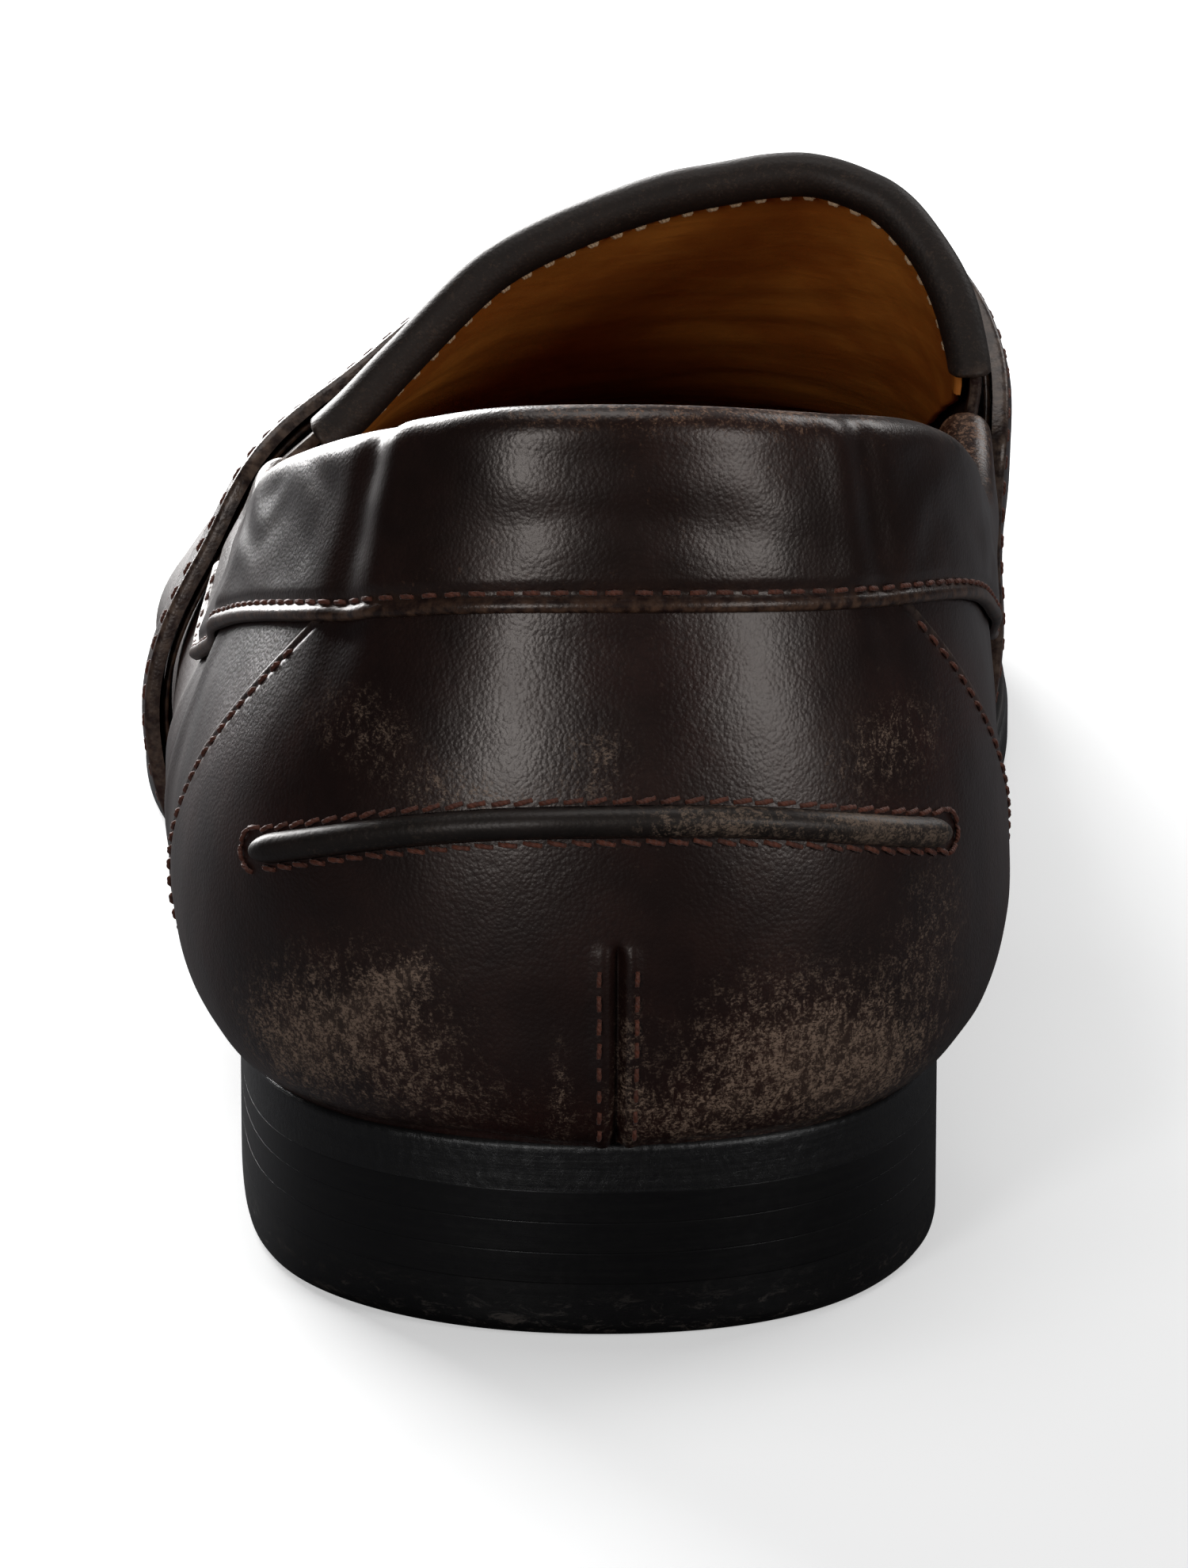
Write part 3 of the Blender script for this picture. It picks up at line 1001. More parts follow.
# ---------- folded edges ----------
def folded(name, Po, top, n, up, Pi, No, Ni, d_o, d_i, t, node, mat, wear_top, puff):
    """Strip folded over an edge. Po/Pi: outer and inner leg faces; d_o, d_i: depths of those faces."""
    c = top + n * ((d_o + d_i) / 2) + up * 0.12
    r = (d_i - d_o) / 2
    ph = np.linspace(0, np.pi, 17)[1:-1]
    arc = np.stack([c + r * (-np.cos(a) * n + np.sin(a) * up) for a in ph], 1)
    narc = np.stack([(np.cos(a) * n - np.sin(a) * up) for a in ph], 1)
    P = np.concatenate([Po, arc, Pi], 1); N = np.concatenate([No, narc, Ni], 1)
    for _ in range(3):
        P[:, Po.shape[1] - 4:Po.shape[1] + 18] = (P[:, Po.shape[1] - 5:Po.shape[1] + 17] + 2 * P[:, Po.shape[1] - 4:Po.shape[1] + 18] + P[:, Po.shape[1] - 3:Po.shape[1] + 19]) / 4
    so = np.concatenate([np.zeros((len(P), 1)), np.cumsum(np.linalg.norm(np.diff(P, axis=1), axis=-1), 1)], 1)
    crest = so[:, Po.shape[1] + 7][:, None]
    P = P - N * puff(so, crest, P)[..., None]
    w = wear_top * np.exp(-((so - crest) / 3.9) ** 2)
    return piece(shell(name, P, N, t, (1, 1, 1, 1), 0.42, wear=w), [node], mat)


OUT_C, IN_C = -1.12, LINING_OUT + 0.12 + 1.0
uc = np.linspace(UM - 1.0 + 0.0035, UL - 0.0035, cnt(520))
v0 = collar_v(uc); one_u = np.ones_like(uc)
q = ramp(cnt(34), 14)[:-6]; q = q / q[-1]
vo = v0[:, None] + (1 - v0[:, None]) * q[None, :]
qi = ramp(cnt(16), 7)[::-1]; qi = (1 - qi)[::-1][::-1]
qi = ramp(cnt(16), 7)[6:]; qi = (qi - qi[0]) / (1 - qi[0])
vi = 1 - (1 - v0[:, None]) * 0.42 * qi[None, :]
nt = n_wall(uc, one_u)
upv = unit(L.wall(uc, one_u) - L.wall(uc, one_u - 0.02))
nt = unit(nt - (nt * upv).sum(1)[:, None] * upv)
UO = uc[:, None] + 0 * vo; UI = uc[:, None] + 0 * vi
Po = W(UO, vo, OUT_C); No = unit(W(UO, vo, OUT_C + 1) - Po)
Pi = W(UI, vi, IN_C); Ni = unit(W(UI, vi, IN_C - 1) - Pi)


def collar_puff(so, crest, P):
    q = np.clip(so / crest, 0, 1)
    b = 0.40 * np.sin(np.pi * q) ** 1.2 - 0.42 * gauss(so, 1.75, 0.5) + 0.10 * gauss(so, 0.7, 0.5)
    b = b + 0.24 * vnoise(P, 9, 51) * np.sin(np.pi * q) + 0.14 * np.sin(P[..., 2] / 1.2 + 4 * vnoise(P, 14, 91)) * np.sin(np.pi * q) * 0.6
    return np.where(so > crest, b * 0 - 0.30 * gauss(so, (so[:, -1:] - 1.8), 0.6), b)


nz_top = 0.55 + 0.45 * vnoise(W(uc, one_u, 0.0), 9, 77)
folded("topline_collar_leather", Po, W(uc, one_u, 0.0), nt, upv, Pi, No, Ni, OUT_C, IN_C, 0.95, "topline_collar", "collar",
       (1.25 * nz_top)[:, None], collar_puff)

tb = np.linspace(0.055, 0.945, cnt(260))
so_ = (0.020 * (1 - ramp(cnt(10), 3)[:-6] / ramp(cnt(10), 3)[:-6][-1]))[None, :] + 0 * tb[:, None]
qi2 = ramp(cnt(10), 3.3)[6:]; qi2 = (qi2 - qi2[0]) / (1 - qi2[0])
si_ = (0.0095 * qi2)[None, :] + 0 * tb[:, None]
z0 = np.zeros_like(tb)
na = n_apron(z0, tb)
upa = unit(L.apron(z0, tb) - L.apron(z0 + 0.01, tb))
na = unit(na - (na * upa).sum(1)[:, None] * upa)
TO, TI = tb[:, None] + 0 * so_, tb[:, None] + 0 * si_
OUT_B, IN_B = -1.05, LINING_OUT + 0.55
Po = A(so_, TO, OUT_B); No = unit(A(so_, TO, OUT_B + 1) - Po)
Pi = A(si_, TI, IN_B); Ni = unit(A(si_, TI, IN_B - 1) - Pi)
folded("tongue_binding_leather", Po, A(z0, tb, 0.0), na, upa, Pi, No, Ni, OUT_B, IN_B, 0.5, "tongue_binding", "binding",
       0.35, lambda so, crest, P: 0.10 * vnoise(P, 6, 33) - 0.10 * gauss(so, so[:, -1:] - 0.8, 0.5))


# ---------- saddle strap ----------
def strap_base(nq, f, lo_v=0.11, fine=True):
    """Grid lying on the shell under the strap, its outward directions and how far the shell's corners stand proud of it."""
    q = ramp(nq, 20) if fine else np.linspace(0, 1, nq)
    n = len(q)
    vw = np.linspace(lo_v, 0.985, 16 * f)[:, None]; t = np.linspace(0.012, 0.988, 34 * f)[:, None]

    def rows(d):
        s = 0.0035 + (0.150 + 0.03 * (1 - vw) - 0.0035) * q[None, :]
        m = np.sin(np.pi * t)
        rear = 0.0035 + 0.080 * m ** 0.55; front = 0.150 + 0.045 * m
        mid = A(rear + (front - rear) * q[None, :], t + 0 * q[None, :], d)
        a, b = L.us(s)
        return np.concatenate([W(a, vw + 0 * s, d), mid, W(b, vw + 0 * s, d)[::-1]])
    raw, out = rows(0.0), rows(-1.0)
    G = raw.copy()
    for _ in range(3 * f * f):
        G[1:-1] = 0.25 * G[:-2] + 0.5 * G[1:-1] + 0.25 * G[2:]
    nn_ = unit(np.cross(np.gradient(G, axis=0), np.gradient(G, axis=1)))
    nn_ = nn_ * np.sign((nn_ * (out - raw)).sum(-1))[..., None]
    for _ in range(3 * f * f):
        nn_[1:-1] = unit(nn_[:-2] + 2 * nn_[1:-1] + nn_[2:])
    R = len(G)
    pen = np.zeros(G.shape[:2])
    for k in range(-2 * f, 2 * f + 1):
        i = np.clip(np.arange(R) + k, 0, R - 1)
        pen = np.maximum(pen, ((raw[i] - G) * nn_).sum(-1))
    big = np.max([pen[np.clip(np.arange(R) + k, 0, R - 1)] for k in range(-f, f + 1)], axis=0)
    for _ in range(2 * f * f):
        big[1:-1] = 0.25 * big[:-2] + 0.5 * big[1:-1] + 0.25 * big[2:]
    return G, nn_, np.maximum(big, pen)


SF = 4
SG, SN, SPN = strap_base(cnt(40), SF)
strap_at = lambda d, rel=None: SG + SN * (SPN - d + (0 if rel is None else rel))[..., None]
Go = strap_at(STRAP_OUT - 0.05)
de = edge_distance(Go, (0, 0, 1, 1))
bumpy = 0.35 * smoothstep((de - 2.6) / 3) - 0.28 * gauss(de, 2.3, 0.5) + 0.10 * vnoise(Go, 12, 55)
Go = strap_at(STRAP_OUT - 0.05, bumpy)
strap = shell("saddle_strap_leather", Go, -SN, 1.55 + bumpy, (1, 1, 1, 1), 0.7, wear=0.25 * np.clip(vnoise(Go, 14, 3), 0, 1))
piece(strap, ["saddle_strap"], "upper")
Bo = strap_at(-0.92)[3:-3, 5:-5]
piece(shell("strap_backing_leather", Bo, -SN[3:-3, 5:-5], 0.66, (1, 1, 1, 1), 0.3), ["strap_backing"], "collar")

# the coin slot: a lens cut through the strap, its lips pressed in
sc, tc = 0.128, 0.53
cc = A(sc, tc, 0.0); nn = n_apron(np.array([sc]), np.array([tc]))[0]
ex = unit(L.apron(np.array([sc]), np.array([tc + 0.02])) - L.apron(np.array([sc]), np.array([tc - 0.02])))[0]
ey = np.cross(nn, ex)
key = [(-14.5, 0), (-11.5, 1.5), (-7, 2.3), (-3.4, 3.6), (0, 4.1), (3.4, 3.6), (7, 2.3), (11.5, 1.5), (14.5, 0), (11.5, -1.5), (7, -2.3),
       (3.4, -1.6), (0, -1.2), (-3.4, -1.6), (-7, -2.3), (-11.5, -1.5)]
lens = closed_spline([(a, b, 0) for a, b in key], 120)[:, :2]
me_ = bpy.data.meshes.new("slot_cutter")
VV = np.array([cc + ex * a + ey * b - nn * z for z in (9, 0.5) for a, b in lens])
FF = [list(range(120))[::-1], list(range(120, 240))] + [[i, (i + 1) % 120, 120 + (i + 1) % 120, 120 + i] for i in range(120)]
me_.from_pydata(put(VV).tolist(), [], FF)
cutter = bpy.data.objects.new("slot_cutter", me_); bpy.context.scene.collection.objects.link(cutter)
fix_normals(cutter)
bo = strap.modifiers.new("slot", 'BOOLEAN'); bo.object = cutter; bo.operation = 'DIFFERENCE'; bo.solver = 'EXACT'
bpy.context.view_layer.objects.active = strap
for o in bpy.context.selected_objects:
    o.select_set(False)
strap.select_set(True)
bpy.ops.object.modifier_apply(modifier="slot")
bpy.data.objects.remove(cutter)
sharp_auto(strap, 55)
print("strap after the slot:", len(strap.data.vertices), "vertices")

# ---------- bead across the back ----------
zb_path = lambda x: 49.5 + 0.012 * x - 7.0 * (np.abs(x - 1) / 32.0) ** 2.4
ub = np.linspace(u_at_y(17.0, 1), u_at_y(15.2, -1), cnt(240))
xb = L.wall(ub, np.full_like(ub, 0.4))[:, 0]
ki = np.minimum(np.arange(len(ub)), len(ub) - 1 - np.arange(len(ub))) / (len(ub) / 61 * 3.0)
wb = np.sqrt(np.clip(1 - (1 - np.minimum(ki, 1)) ** 2, 0, 1)) * 0.85 + 0.15


def on_wall(u, z, d):
    return W(u, v_at_z(u, z), d)


def bead_grid(f, m=19):
    qq = np.linspace(-1, 1, m)
    return np.stack([on_wall(ub, zb_path(xb) + 1.45 * wb * k, f(k, wb)) for k in qq], 1)


wob_b = vnoise(np.c_[xb, 0 * xb, 0 * xb], 5.0, 3) * 0.12
bi_ = bead_grid(lambda k, w: 0 * w - 0.28)
bo_ = bead_grid(lambda k, w: -0.36 - (1.75 + wob_b) * w * np.sqrt(max(1 - k * k, 0)))
wr_ = np.clip(0.30 + 0.85 * smoothstep((xb - 1) / 9), 0, 1.15)[:, None] * (0.75 + 0.35 * vnoise(bo_, 6, 9))
bead = shell("back_bead_leather", bo_, unit(bi_ - bo_), np.linalg.norm(bi_ - bo_, axis=-1), (0, 0, 0, 0), 0.1, wear=wr_)
piece(bead, ["back_bead"], "bead")


def bead_path(off, lo=0, hi=None):
    uu = ub[lo:hi]; xx = xb[lo:hi]
    v = v_at_z(uu, zb_path(xx) + off)
    return W(uu, v, -0.36), n_all(uu, v)


def n_all(u, v):
    return unit(W(u, v, 1.0) - W(u, v, 0.0))


runs = []
for off in (1.85, -1.85):
    P, N = bead_path(off)
    runs.append((P, N, dict(slant=0.20 if off > 0 else -0.20)))
for end in (0, -1):
    u0 = ub[end]; sgn = -1 if end == 0 else 1
    a = np.linspace(-np.pi / 2, np.pi / 2, 40)
    uu = u0 + sgn * np.cos(a) * 1.9 * MM
    zz = zb_path(xb[end]) + 1.95 * np.sin(a)
    v = v_at_z(uu, zz)
    runs.append((W(uu, v, -0.36), n_all(uu, v), dict(pitch=1.7)))
piece(stitches("bead_stitching_thread", runs, pitch=2.2, length=2.15, r=0.23, lift=0.22, dip=0.5), ["bead_stitching"], "thread")

# ---------- stitch rows ----------
ut = np.linspace(UM - 1.0 + 0.006, UL - 0.006, 500)
vt = collar_v(ut) + 1.75 / 62
Pc = W(ut, vt, OUT_C + 0.30)
piece(stitches("collar_stitching_thread", [(Pc, n_all(ut, vt), {})], pitch=2.5, length=2.0, r=0.23, lift=0.24, dip=0.5), ["collar_stitching"], "thread")
runs = []
for side in (-1, 1):
    v = np.linspace(0.03, 0.99, 160)
    m = float(collar_v(np.array([counter_edge(np.array([0.8]), side)[0]]))[0]) - 0.02
    v = v * m
    u = counter_edge(v / 0.988, side) + side * 1.9 * MM * (1 if side > 0 else 1)
    runs.append((W(u, v, -0.16), n_all(u, v), {}))
piece(stitches("counter_seam_thread", runs, pitch=2.4, length=1.9, r=0.22, lift=0.20, dip=0.45), ["counter_seam_stitching"], "thread")
runs = []
for o in (-1.45 * MM, 1.45 * MM):
    v = np.linspace(0.05, 0.292, 60)
    uu = np.full(60, o)
    runs.append((W(uu, v, -0.62), n_all(uu, v), {}))
piece(stitches("dart_thread", runs, pitch=2.3, length=1.8, r=0.21, lift=0.2, dip=0.5), ["dart_stitching"], "thread")
G2, N2, P2 = strap_base(29, 2, fine=False)
e_ = G2 + N2 * (P2 - STRAP_OUT - 0.10)[..., None]
piece(stitches("strap_stitching_thread", [(e_[2:-2, k], -N2[2:-2, k], {}) for k in (3, -4)], pitch=2.7, length=2.1, r=0.25, lift=0.22, dip=0.5),
      ["strap_stitching"], "thread")
tl_ = np.linspace(0.075, 0.925, 300); ls = np.full(300, 0.0185)
piece(stitches("lining_stitching_thread", [(A(ls, tl_, LINING_OUT + 0.10), unit(A(ls, tl_, 0.0) - A(ls, tl_, 1.0)), {})], pitch=2.5, length=1.6, r=0.27, lift=0.22, dip=0.4),
      ["lining_stitching"], "pale_thread")

# ---------- raised seam round the apron ----------
s_m = np.linspace(0.205, 0.985, cnt(420))
ru = np.concatenate([L.us(s_m)[0], L.us(s_m)[1][::-1]])
P = W(ru, np.full(len(ru), 0.998), 0.0); n = n_seam(ru)
tan = unit(np.gradient(P, axis=0))
for _ in range(6):
    n[1:-1] = unit(n[:-2] + 2 * n[1:-1] + n[2:])
sd = unit(np.cross(tan, n))
sl_ = np.r_[0, np.cumsum(np.linalg.norm(np.diff(P, axis=0), axis=1))]
puck = 0.5 + 0.5 * np.cos(2 * np.pi * sl_ / 4.0)
endf = np.sqrt(np.clip(np.minimum(sl_, sl_[-1] - sl_) / 5.0, 0.03, 1))
rows_o, rows_i = [], []
for a in np.linspace(-1, 1, 17):
    hgt = (0.10 + (1.30 - 0.34 * puck) * math.sqrt(max(1 - abs(a) ** 2.3, 0)) - 0.34 * math.exp(-(a / 0.22) ** 2)) * endf
    rows_o.append(P + sd * (a * (1.55 - 0.22 * puck) * endf[:, None] ** 0 if False else a * (1.55 - 0.22 * puck)[:, None]) - n * (0.25 + hgt)[:, None])
    rows_i.append(P + sd * (a * (1.55 - 0.22 * puck))[:, None] - n * 0.05)
ro, ri = np.stack(rows_o, 1), np.stack(rows_i, 1)
ridge = shell("moc_seam_leather", ro, unit(ri - ro), np.linalg.norm(ri - ro, axis=-1), (0, 0, 0, 0), 0.1, wear=0.35 * np.exp(-((np.linspace(-1, 1, 17)[None, :]) / 0.5) ** 2) + 0 * ro[..., 0])
piece(ridge, ["moc_seam_ridge"], "collar")
piece(stitches("moc_seam_thread", [(P - n * 0.25, n, {})], pitch=4.0, length=3.0, across=3.7, r=0.36, lift=1.12, dip=0.55, slant=0.25, start=0.0), ["moc_seam_ridge"], "thread")


# ---------- bottom ----------
O, NIN = L.outline, L.nin
st = lambda y: sole_bottom(y) + 4.6


def outline_ring(n):
    def ring(d):
        P = smooth_closed(O + NIN * (d(O[:, 1])[:, None] if callable(d) else float(d)), 4)
        k = np.round(np.linspace(0, N_U, n, endpoint=False)).astype(int)
        return P[k]
    return ring


ring = outline_ring(720)
zf = lambda f: (lambda x, y: f(y))
zb_s = lambda dz: zf(lambda y: np.maximum(sole_bottom(y) - 0.02 + dz, 0.0))
zt_s = lambda dz: zf(lambda y: st(y) + dz)
fr_ = lambda y: smoothstep((y - 66) / 7)
di = lambda k: (lambda y: k * fr_(y))
zb_k = lambda dz: zf(lambda y: np.maximum(sole_bottom(y) - 0.02 + dz * (0.05 + 0.95 * fr_(y)), 0.0))
prof = [(1.5, zb_s(0.0)), (di(0.95), zb_s(0.0)), (di(0.62), zb_k(0.03)), (di(0.30), zb_k(0.17)), (di(0.10), zb_k(0.42)), (di(0.02), zb_k(0.75)), (0.0, zb_k(1.0)), (0.0, zb_s(1.5)), (0.0, zb_s(2.0)), (0.0, zt_s(-1.6)), (0.0, zt_s(-0.9)),
        (0.01, zt_s(-0.65)), (0.08, zt_s(-0.36)), (0.28, zt_s(-0.14)), (0.7, zt_s(-0.02)), (1.4, zt_s(0.0))]
piece(ring_solid("outsole_leather", ring, prof, (True, True), 40), ["outsole"], "sole")


def tuck(d):
    return lambda y: d + 3.4 * (1 - smoothstep((y - 78) / 14))


bz = lambda dz: zf(lambda y: base_z(y) - 0.03 + dz)
rprof = [(tuck(4.4), bz(0.0)), (tuck(1.0), bz(0.0)), (tuck(0.62), bz(-0.05)), (tuck(0.38), bz(-0.22)), (tuck(0.32), bz(-0.55)), (tuck(0.36), zt_s(0.40)), (tuck(0.5), zt_s(0.16)),
         (tuck(0.8), zt_s(0.04)), (tuck(4.4), zt_s(0.04))]
rprof = [(a, b) for a, b in rprof]
piece(ring_solid("rand_leather", ring, rprof, (False, False)), ["rand"], "rand")

feather = lambda y: pchip(y, [0, 40, 75, 100, 130, 300], [1.2, 1.2, 1.4, 2.2, 3.0, 3.2])
lay = lambda a, zl, zh, r=0.3: [(lambda y, a=a: feather(y) + a + r, zt_s(zl)), (lambda y, a=a: feather(y) + a + 0.3 * r, zt_s(zl + 0.3 * r)), (lambda y, a=a: feather(y) + a, zt_s(zl + r)),
                                (lambda y, a=a: feather(y) + a, zt_s(zh - r)), (lambda y, a=a: feather(y) + a + 0.3 * r, zt_s(zh - 0.3 * r)), (lambda y, a=a: feather(y) + a + r, zt_s(zh))]
piece(ring_solid("sock_liner_leather", ring, lay(1.5, 3.96, 4.90), (True, True), 30), ["sock_liner"], "sock")


def heel_ring(yb, bow, n=200):
    """Ring of the heel's plan: outline behind a bowed front face."""
    def ring(d, dd=None):
        dv = d(O[:, 1])[:, None] if callable(d) else float(d)
        P = smooth_closed(O + NIN * dv, 4)
        k = np.arange(N_U)
        lat = P[(k <= L.toe) & (P[:, 1] < yb + 1.2)]; med = P[(k > L.toe) & (P[:, 1] < yb + 1.2)]
        d0 = (dv if np.isscalar(dv) else float(np.mean(dv)))
        a, b = lat[-1], med[0]
        t_ = np.linspace(0, 1, 61)[1:-1]
        fr = a[None] * (1 - t_[:, None]) + b[None] * t_[:, None]
        fr[:, 1] -= bow * np.sin(np.pi * t_) + d0 * 0.9
        Q = np.concatenate([lat, fr, med])
        s = np.r_[0, np.cumsum(np.linalg.norm(np.diff(np.vstack([Q, Q[:1]]), axis=0), axis=1))]
        Qc = np.vstack([Q, Q[:1]])
        # the same number of points on each of the three runs keeps the rings in step
        def rs(R, m):
            c = np.r_[0, np.cumsum(np.linalg.norm(np.diff(R, axis=0), axis=1))]
            z = np.linspace(0, c[-1], m)
            return np.stack([np.interp(z, c, R[:, j]) for j in range(2)], 1)
        return np.concatenate([rs(lat, n), rs(fr, 60), rs(med, n)[:-1]])
    return ring


def ngon_solid(name, ring_fn, prof):
    R = [ring_fn(i) for i, _ in prof]; n = len(R[0])
    P = np.concatenate([np.c_[r, z(r[:, 0], r[:, 1])] for r, (_, z) in zip(R, prof)])
    F = [[a * n + i, a * n + (i + 1) % n, (a + 1) * n + (i + 1) % n, (a + 1) * n + i] for a in range(len(prof) - 1) for i in range(n)]
    F.append(list(range(n))[::-1]); F.append(list(range((len(prof) - 1) * n, len(prof) * n)))
    ob = new_object(name, put(P), F, {"edge": np.zeros(len(P)), "wear": np.zeros(len(P))})
    fix_normals(ob)
    return ob


hr = heel_ring(70.0, 3.4)
fz = lambda z: (lambda x, y: np.full(np.shape(y), float(z)))


def lift_prof(z0, z1, zt=None, r=0.004, puff=0.0):
    top = (lambda dz: (lambda x, y: zt(y) + dz)) if zt else (lambda dz: fz(z1 + dz))
    return [(0.9, fz(z0)), (r, fz(z0)), (0.3 * r, fz(z0 + 0.3 * r)), (0.0, fz(z0 + r)), (-0.2 * puff, fz(z0 + r + 0.12)), (-puff, fz(z0 + 0.7)), (-puff, (lambda x, y: (fz(z0)(x, y) + top(0)(x, y)) / 2)),
            (-puff, top(-0.7)), (-0.2 * puff, top(-r - 0.12)), (0.0, top(-r)), (0.3 * r, top(-0.3 * r)), (r, top(0)), (0.9, top(0))]


for name, z0, z1, mat, slot in (("heel_lift_lower", 5.01, 7.9, "heel", "heel_leather"), ("heel_lift_middle", 7.91, 10.8, "heel", "heel_leather")):
    ob = ngon_solid(name + "_stack", hr, lift_prof(z0, z1)); sharp_auto(ob, 60)
    piece(ob, [name], mat)
ob = ngon_solid("heel_lift_upper_stack", hr, lift_prof(10.81, 13.8, lambda y: sole_bottom(y) - 0.03)); sharp_auto(ob, 60)
piece(ob, ["heel_lift_upper"], "heel")


def top_piece_prof():
    return [(1.3, fz(0.0)), (0.75, fz(0.03)), (0.38, fz(0.20)), (0.15, fz(0.50)), (0.04, fz(0.95)), (0.01, fz(1.2)), (0.0, fz(2.0)), (0.0, fz(4.2)), (0.0, fz(4.8)), (0.0, fz(4.93)), (0.0, fz(5.0)), (1.0, fz(5.0))]


ob = ngon_solid("heel_top_piece_rubber", hr, top_piece_prof()); sharp_auto(ob, 60)
piece(ob, ["heel_top_piece"], "rubber")

# brads, heads worn level with the tread
brads = [(-12, 9.5), (12, 9), (-24, 22), (24, 20.5), (-27, 42), (25.5, 42), (-27.5, 60), (23.5, 60)]
bV, bF = [], []
for bx, by in brads:
    pr = [(0.0, -0.06), (0.55, -0.055), (0.95, -0.02), (1.12, 0.05), (1.15, 0.12), (0.8, 0.25), (0.8, 4.0), (0.0, 4.0)]
    m = 24; base = len(bV)
    for rr, zz in pr:
        for j in range(m):
            an = 2 * math.pi * j / m
            bV.append((bx + rr * math.cos(an), by + rr * math.sin(an), max(zz + 0.06, 0.0)))
    for a in range(len(pr) - 1):
        for j in range(m):
            bF.append([base + a * m + j, base + a * m + (j + 1) % m, base + (a + 1) * m + (j + 1) % m, base + (a + 1) * m + j])
ob = new_object("top_piece_brads_brass", put(np.array(bV)), bF, {"edge": np.zeros(len(bV))})
bm = bmesh.new(); bm.from_mesh(ob.data); bmesh.ops.remove_doubles(bm, verts=bm.verts, dist=1e-7); bmesh.ops.recalc_face_normals(bm, faces=bm.faces); bm.to_mesh(ob.data); bm.free()
piece(ob, ["top_piece_brads"], "brass")

# heel pad: soft, domed, thinner at its front edge
hp = heel_ring(80.0, -9.0)


def pad_prof():
    z = lambda k: (lambda x, y: st(y) + k)
    f = lambda a: (lambda y: feather(y) + 4.2 + a)
    return [(f(1.0), z(4.93)), (f(0.0), z(4.96)), (f(0.1), z(5.5)), (f(0.5), z(5.95)), (f(1.4), z(6.25)), (f(4), z(6.42))]


pad = ngon_solid("heel_pad_leather", hp, pad_prof())
piece(pad, ["heel_pad"], "sock")

# stitching sunk in its channel under the sole
Pm = smooth_closed(O + NIN * 4.6, 4)
kk = np.array([i for i in range(N_U) if Pm[i, 1] > 77 and 50 < i < N_U - 50])
Ps = np.c_[Pm[kk], np.maximum(sole_bottom(Pm[kk, 1]), 0) + 0.16]
piece(stitches("outsole_stitching_thread", [(Ps, np.tile([0, 0, 1.0], (len(Ps), 1)), {})], pitch=3.6, length=3.0, r=0.34, lift=0.12, dip=0.3), ["outsole_stitching"], "pale_thread")

# ---------- CAD nodes that stay as they are, inside the shoe ----------
for node, mat in (("shank", "steel"), ("cork_filler", "cork"), ("insole", "insole"), ("heel_nails", "steel"), ("counter_stiffener", "stiffener"), ("toe_puff", "stiffener")):
    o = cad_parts[node]
    o.data.materials.clear(); o.data.materials.append(M[mat])


# ---------- floor, light, camera ----------
def stage_floor():
    """A round sheet of pale paper that fades out into the white studio."""
    n = 96; rings = [0.0, 0.3, 0.6, 0.9, 1.2, 1.5]
    V = [(0, -0.05, -0.0002)] + [(r * math.sin(2 * math.pi * k / n), r * math.cos(2 * math.pi * k / n) - 0.05, -0.0002) for r in rings[1:] for k in range(n)]
    F = [[0, 1 + (k + 1) % n, 1 + k] for k in range(n)]
    for a in range(len(rings) - 2):
        F += [[1 + a * n + k, 1 + a * n + (k + 1) % n, 1 + (a + 1) * n + (k + 1) % n, 1 + (a + 1) * n + k] for k in range(n)]
    me = bpy.data.meshes.new("studio_paper"); me.from_pydata(V, [], F); me.update()
    ob = bpy.data.objects.new("studio_paper", me); bpy.context.scene.collection.objects.link(ob)
    fix_normals(ob)
    s = Mat("studio_paper")
    n1 = s.noise(0.02, 2, 0.5)
    s.done(s.mix(n1, (0.88, 0.88, 0.88, 1), (0.92, 0.92, 0.92, 1)), 0.7, Specular_IOR_Level=0.1)
    # seen straight on the paper is pale; in the shoe's own reflections it is a dim studio floor
    lp_ = s.add('ShaderNodeLightPath'); dim = s.add('ShaderNodeBsdfDiffuse'); dim.inputs[0].default_value = (0.10, 0.10, 0.105, 1)
    mx_ = s.add('ShaderNodeMixShader'); s.link(lp_.outputs['Is Camera Ray'], mx_.inputs[0]); s.link(dim.outputs[0], mx_.inputs[1])
    em = s.add('ShaderNodeEmission'); em.inputs[0].default_value = (1, 1, 1, 1); em.inputs[1].default_value = 0.42
    ad = s.add('ShaderNodeAddShader'); s.link(s.b.outputs[0], ad.inputs[0]); s.link(em.outputs[0], ad.inputs[1]); s.link(ad.outputs[0], mx_.inputs[2])
    s.m.cycles.emission_sampling = 'NONE'
    ln = s.add('ShaderNodeVectorMath', operation='LENGTH'); s.link(s.co, ln.inputs[0])
    tr = s.add('ShaderNodeBsdfTransparent'); m2 = s.add('ShaderNodeMixShader')
    s.link(s.mapr(ln.outputs['Value'], 260.0, 760.0), m2.inputs[0]); s.link(mx_.outputs[0], m2.inputs[1]); s.link(tr.outputs[0], m2.inputs[2])
    s.link(m2.outputs[0], s.out.inputs[0])
    me.materials.append(s.m)
    return ob


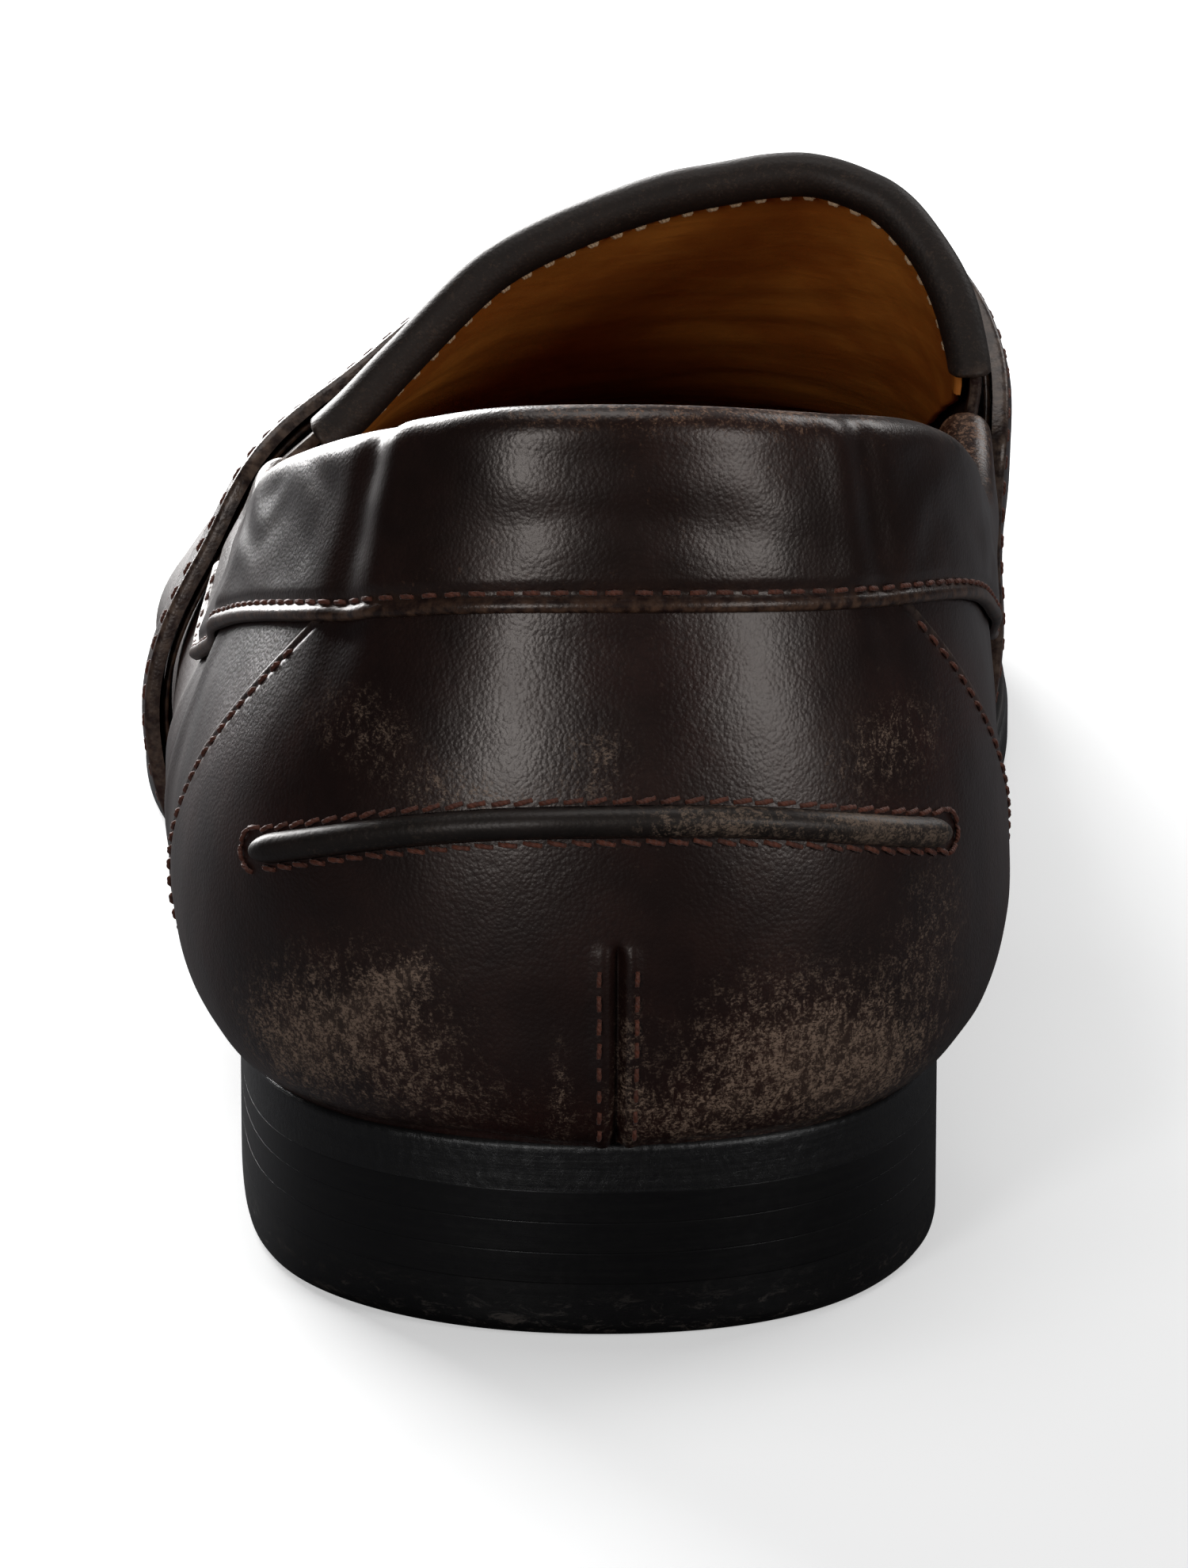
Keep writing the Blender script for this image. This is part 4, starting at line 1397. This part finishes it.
def area(name, loc, target, size, size_y, power, color=(1, 1, 1), spread=180):
    l = bpy.data.lights.new(name, 'AREA'); l.shape = 'RECTANGLE'; l.size = size; l.size_y = size_y; l.energy = power; l.color = color
    l.spread = math.radians(spread)
    o = bpy.data.objects.new(name, l); bpy.context.scene.collection.objects.link(o)
    o.location = loc
    o.rotation_euler = (Vector(target) - Vector(loc)).to_track_quat('-Z', 'Y').to_euler()
    o.visible_camera = False
    return o


floor = stage_floor()
c0 = (0, -0.11, 0.05)
pol = lambda az, r, z: (r * math.sin(math.radians(az)), c0[1] - r * math.cos(math.radians(az)), z)
area("key_left", pol(-158, 1.25, 0.43), c0, 0.66, 0.7, 28)
area("strip_left", pol(-26, 1.7, 0.50), (0, -0.12, 0.055), 0.34, 0.55, 7.5)
area("strip_right", pol(54, 1.6, 0.52), (0, -0.12, 0.055), 0.60, 0.55, 7.0)
area("top", (0.0, 0.12, 1.5), (0, 0.04, 0.03), 0.9, 0.7, 5.5)
area("back_right", pol(140, 1.3, 0.8), c0, 0.6, 0.6, 4)

world = bpy.data.worlds.new("studio"); bpy.context.scene.world = world; world.use_nodes = True
wt = world.node_tree; wt.nodes.clear()
wo = wt.nodes.new('ShaderNodeOutputWorld'); bg = wt.nodes.new('ShaderNodeBackground'); bgc = wt.nodes.new('ShaderNodeBackground')
mx = wt.nodes.new('ShaderNodeMixShader'); lp = wt.nodes.new('ShaderNodeLightPath')
bg.inputs[0].default_value = (0.9, 0.95, 1.0, 1); bg.inputs[1].default_value = 0.03
bgc.inputs[0].default_value = (1, 1, 1, 1); bgc.inputs[1].default_value = 1.0
wt.links.new(lp.outputs['Is Camera Ray'], mx.inputs[0]); wt.links.new(bg.outputs[0], mx.inputs[1]); wt.links.new(bgc.outputs[0], mx.inputs[2])
wt.links.new(mx.outputs[0], wo.inputs[0])

cam = bpy.data.cameras.new("camera"); cam.sensor_fit = 'HORIZONTAL'; cam.sensor_width = 36; cam.lens = 300; cam.clip_start = 0.01; cam.clip_end = 20
co = bpy.data.objects.new("camera", cam); bpy.context.scene.collection.objects.link(co)
co.location = (SX * 0.001, (SY - 850.97) * 0.001, 0.2913)
co.rotation_euler = (math.radians(90 - 15.7), 0, 0)
bpy.context.scene.camera = co
bpy.context.scene.view_settings.view_transform = 'Standard'
bpy.context.scene.view_settings.look = 'None'

bpy.context.view_layer.update()
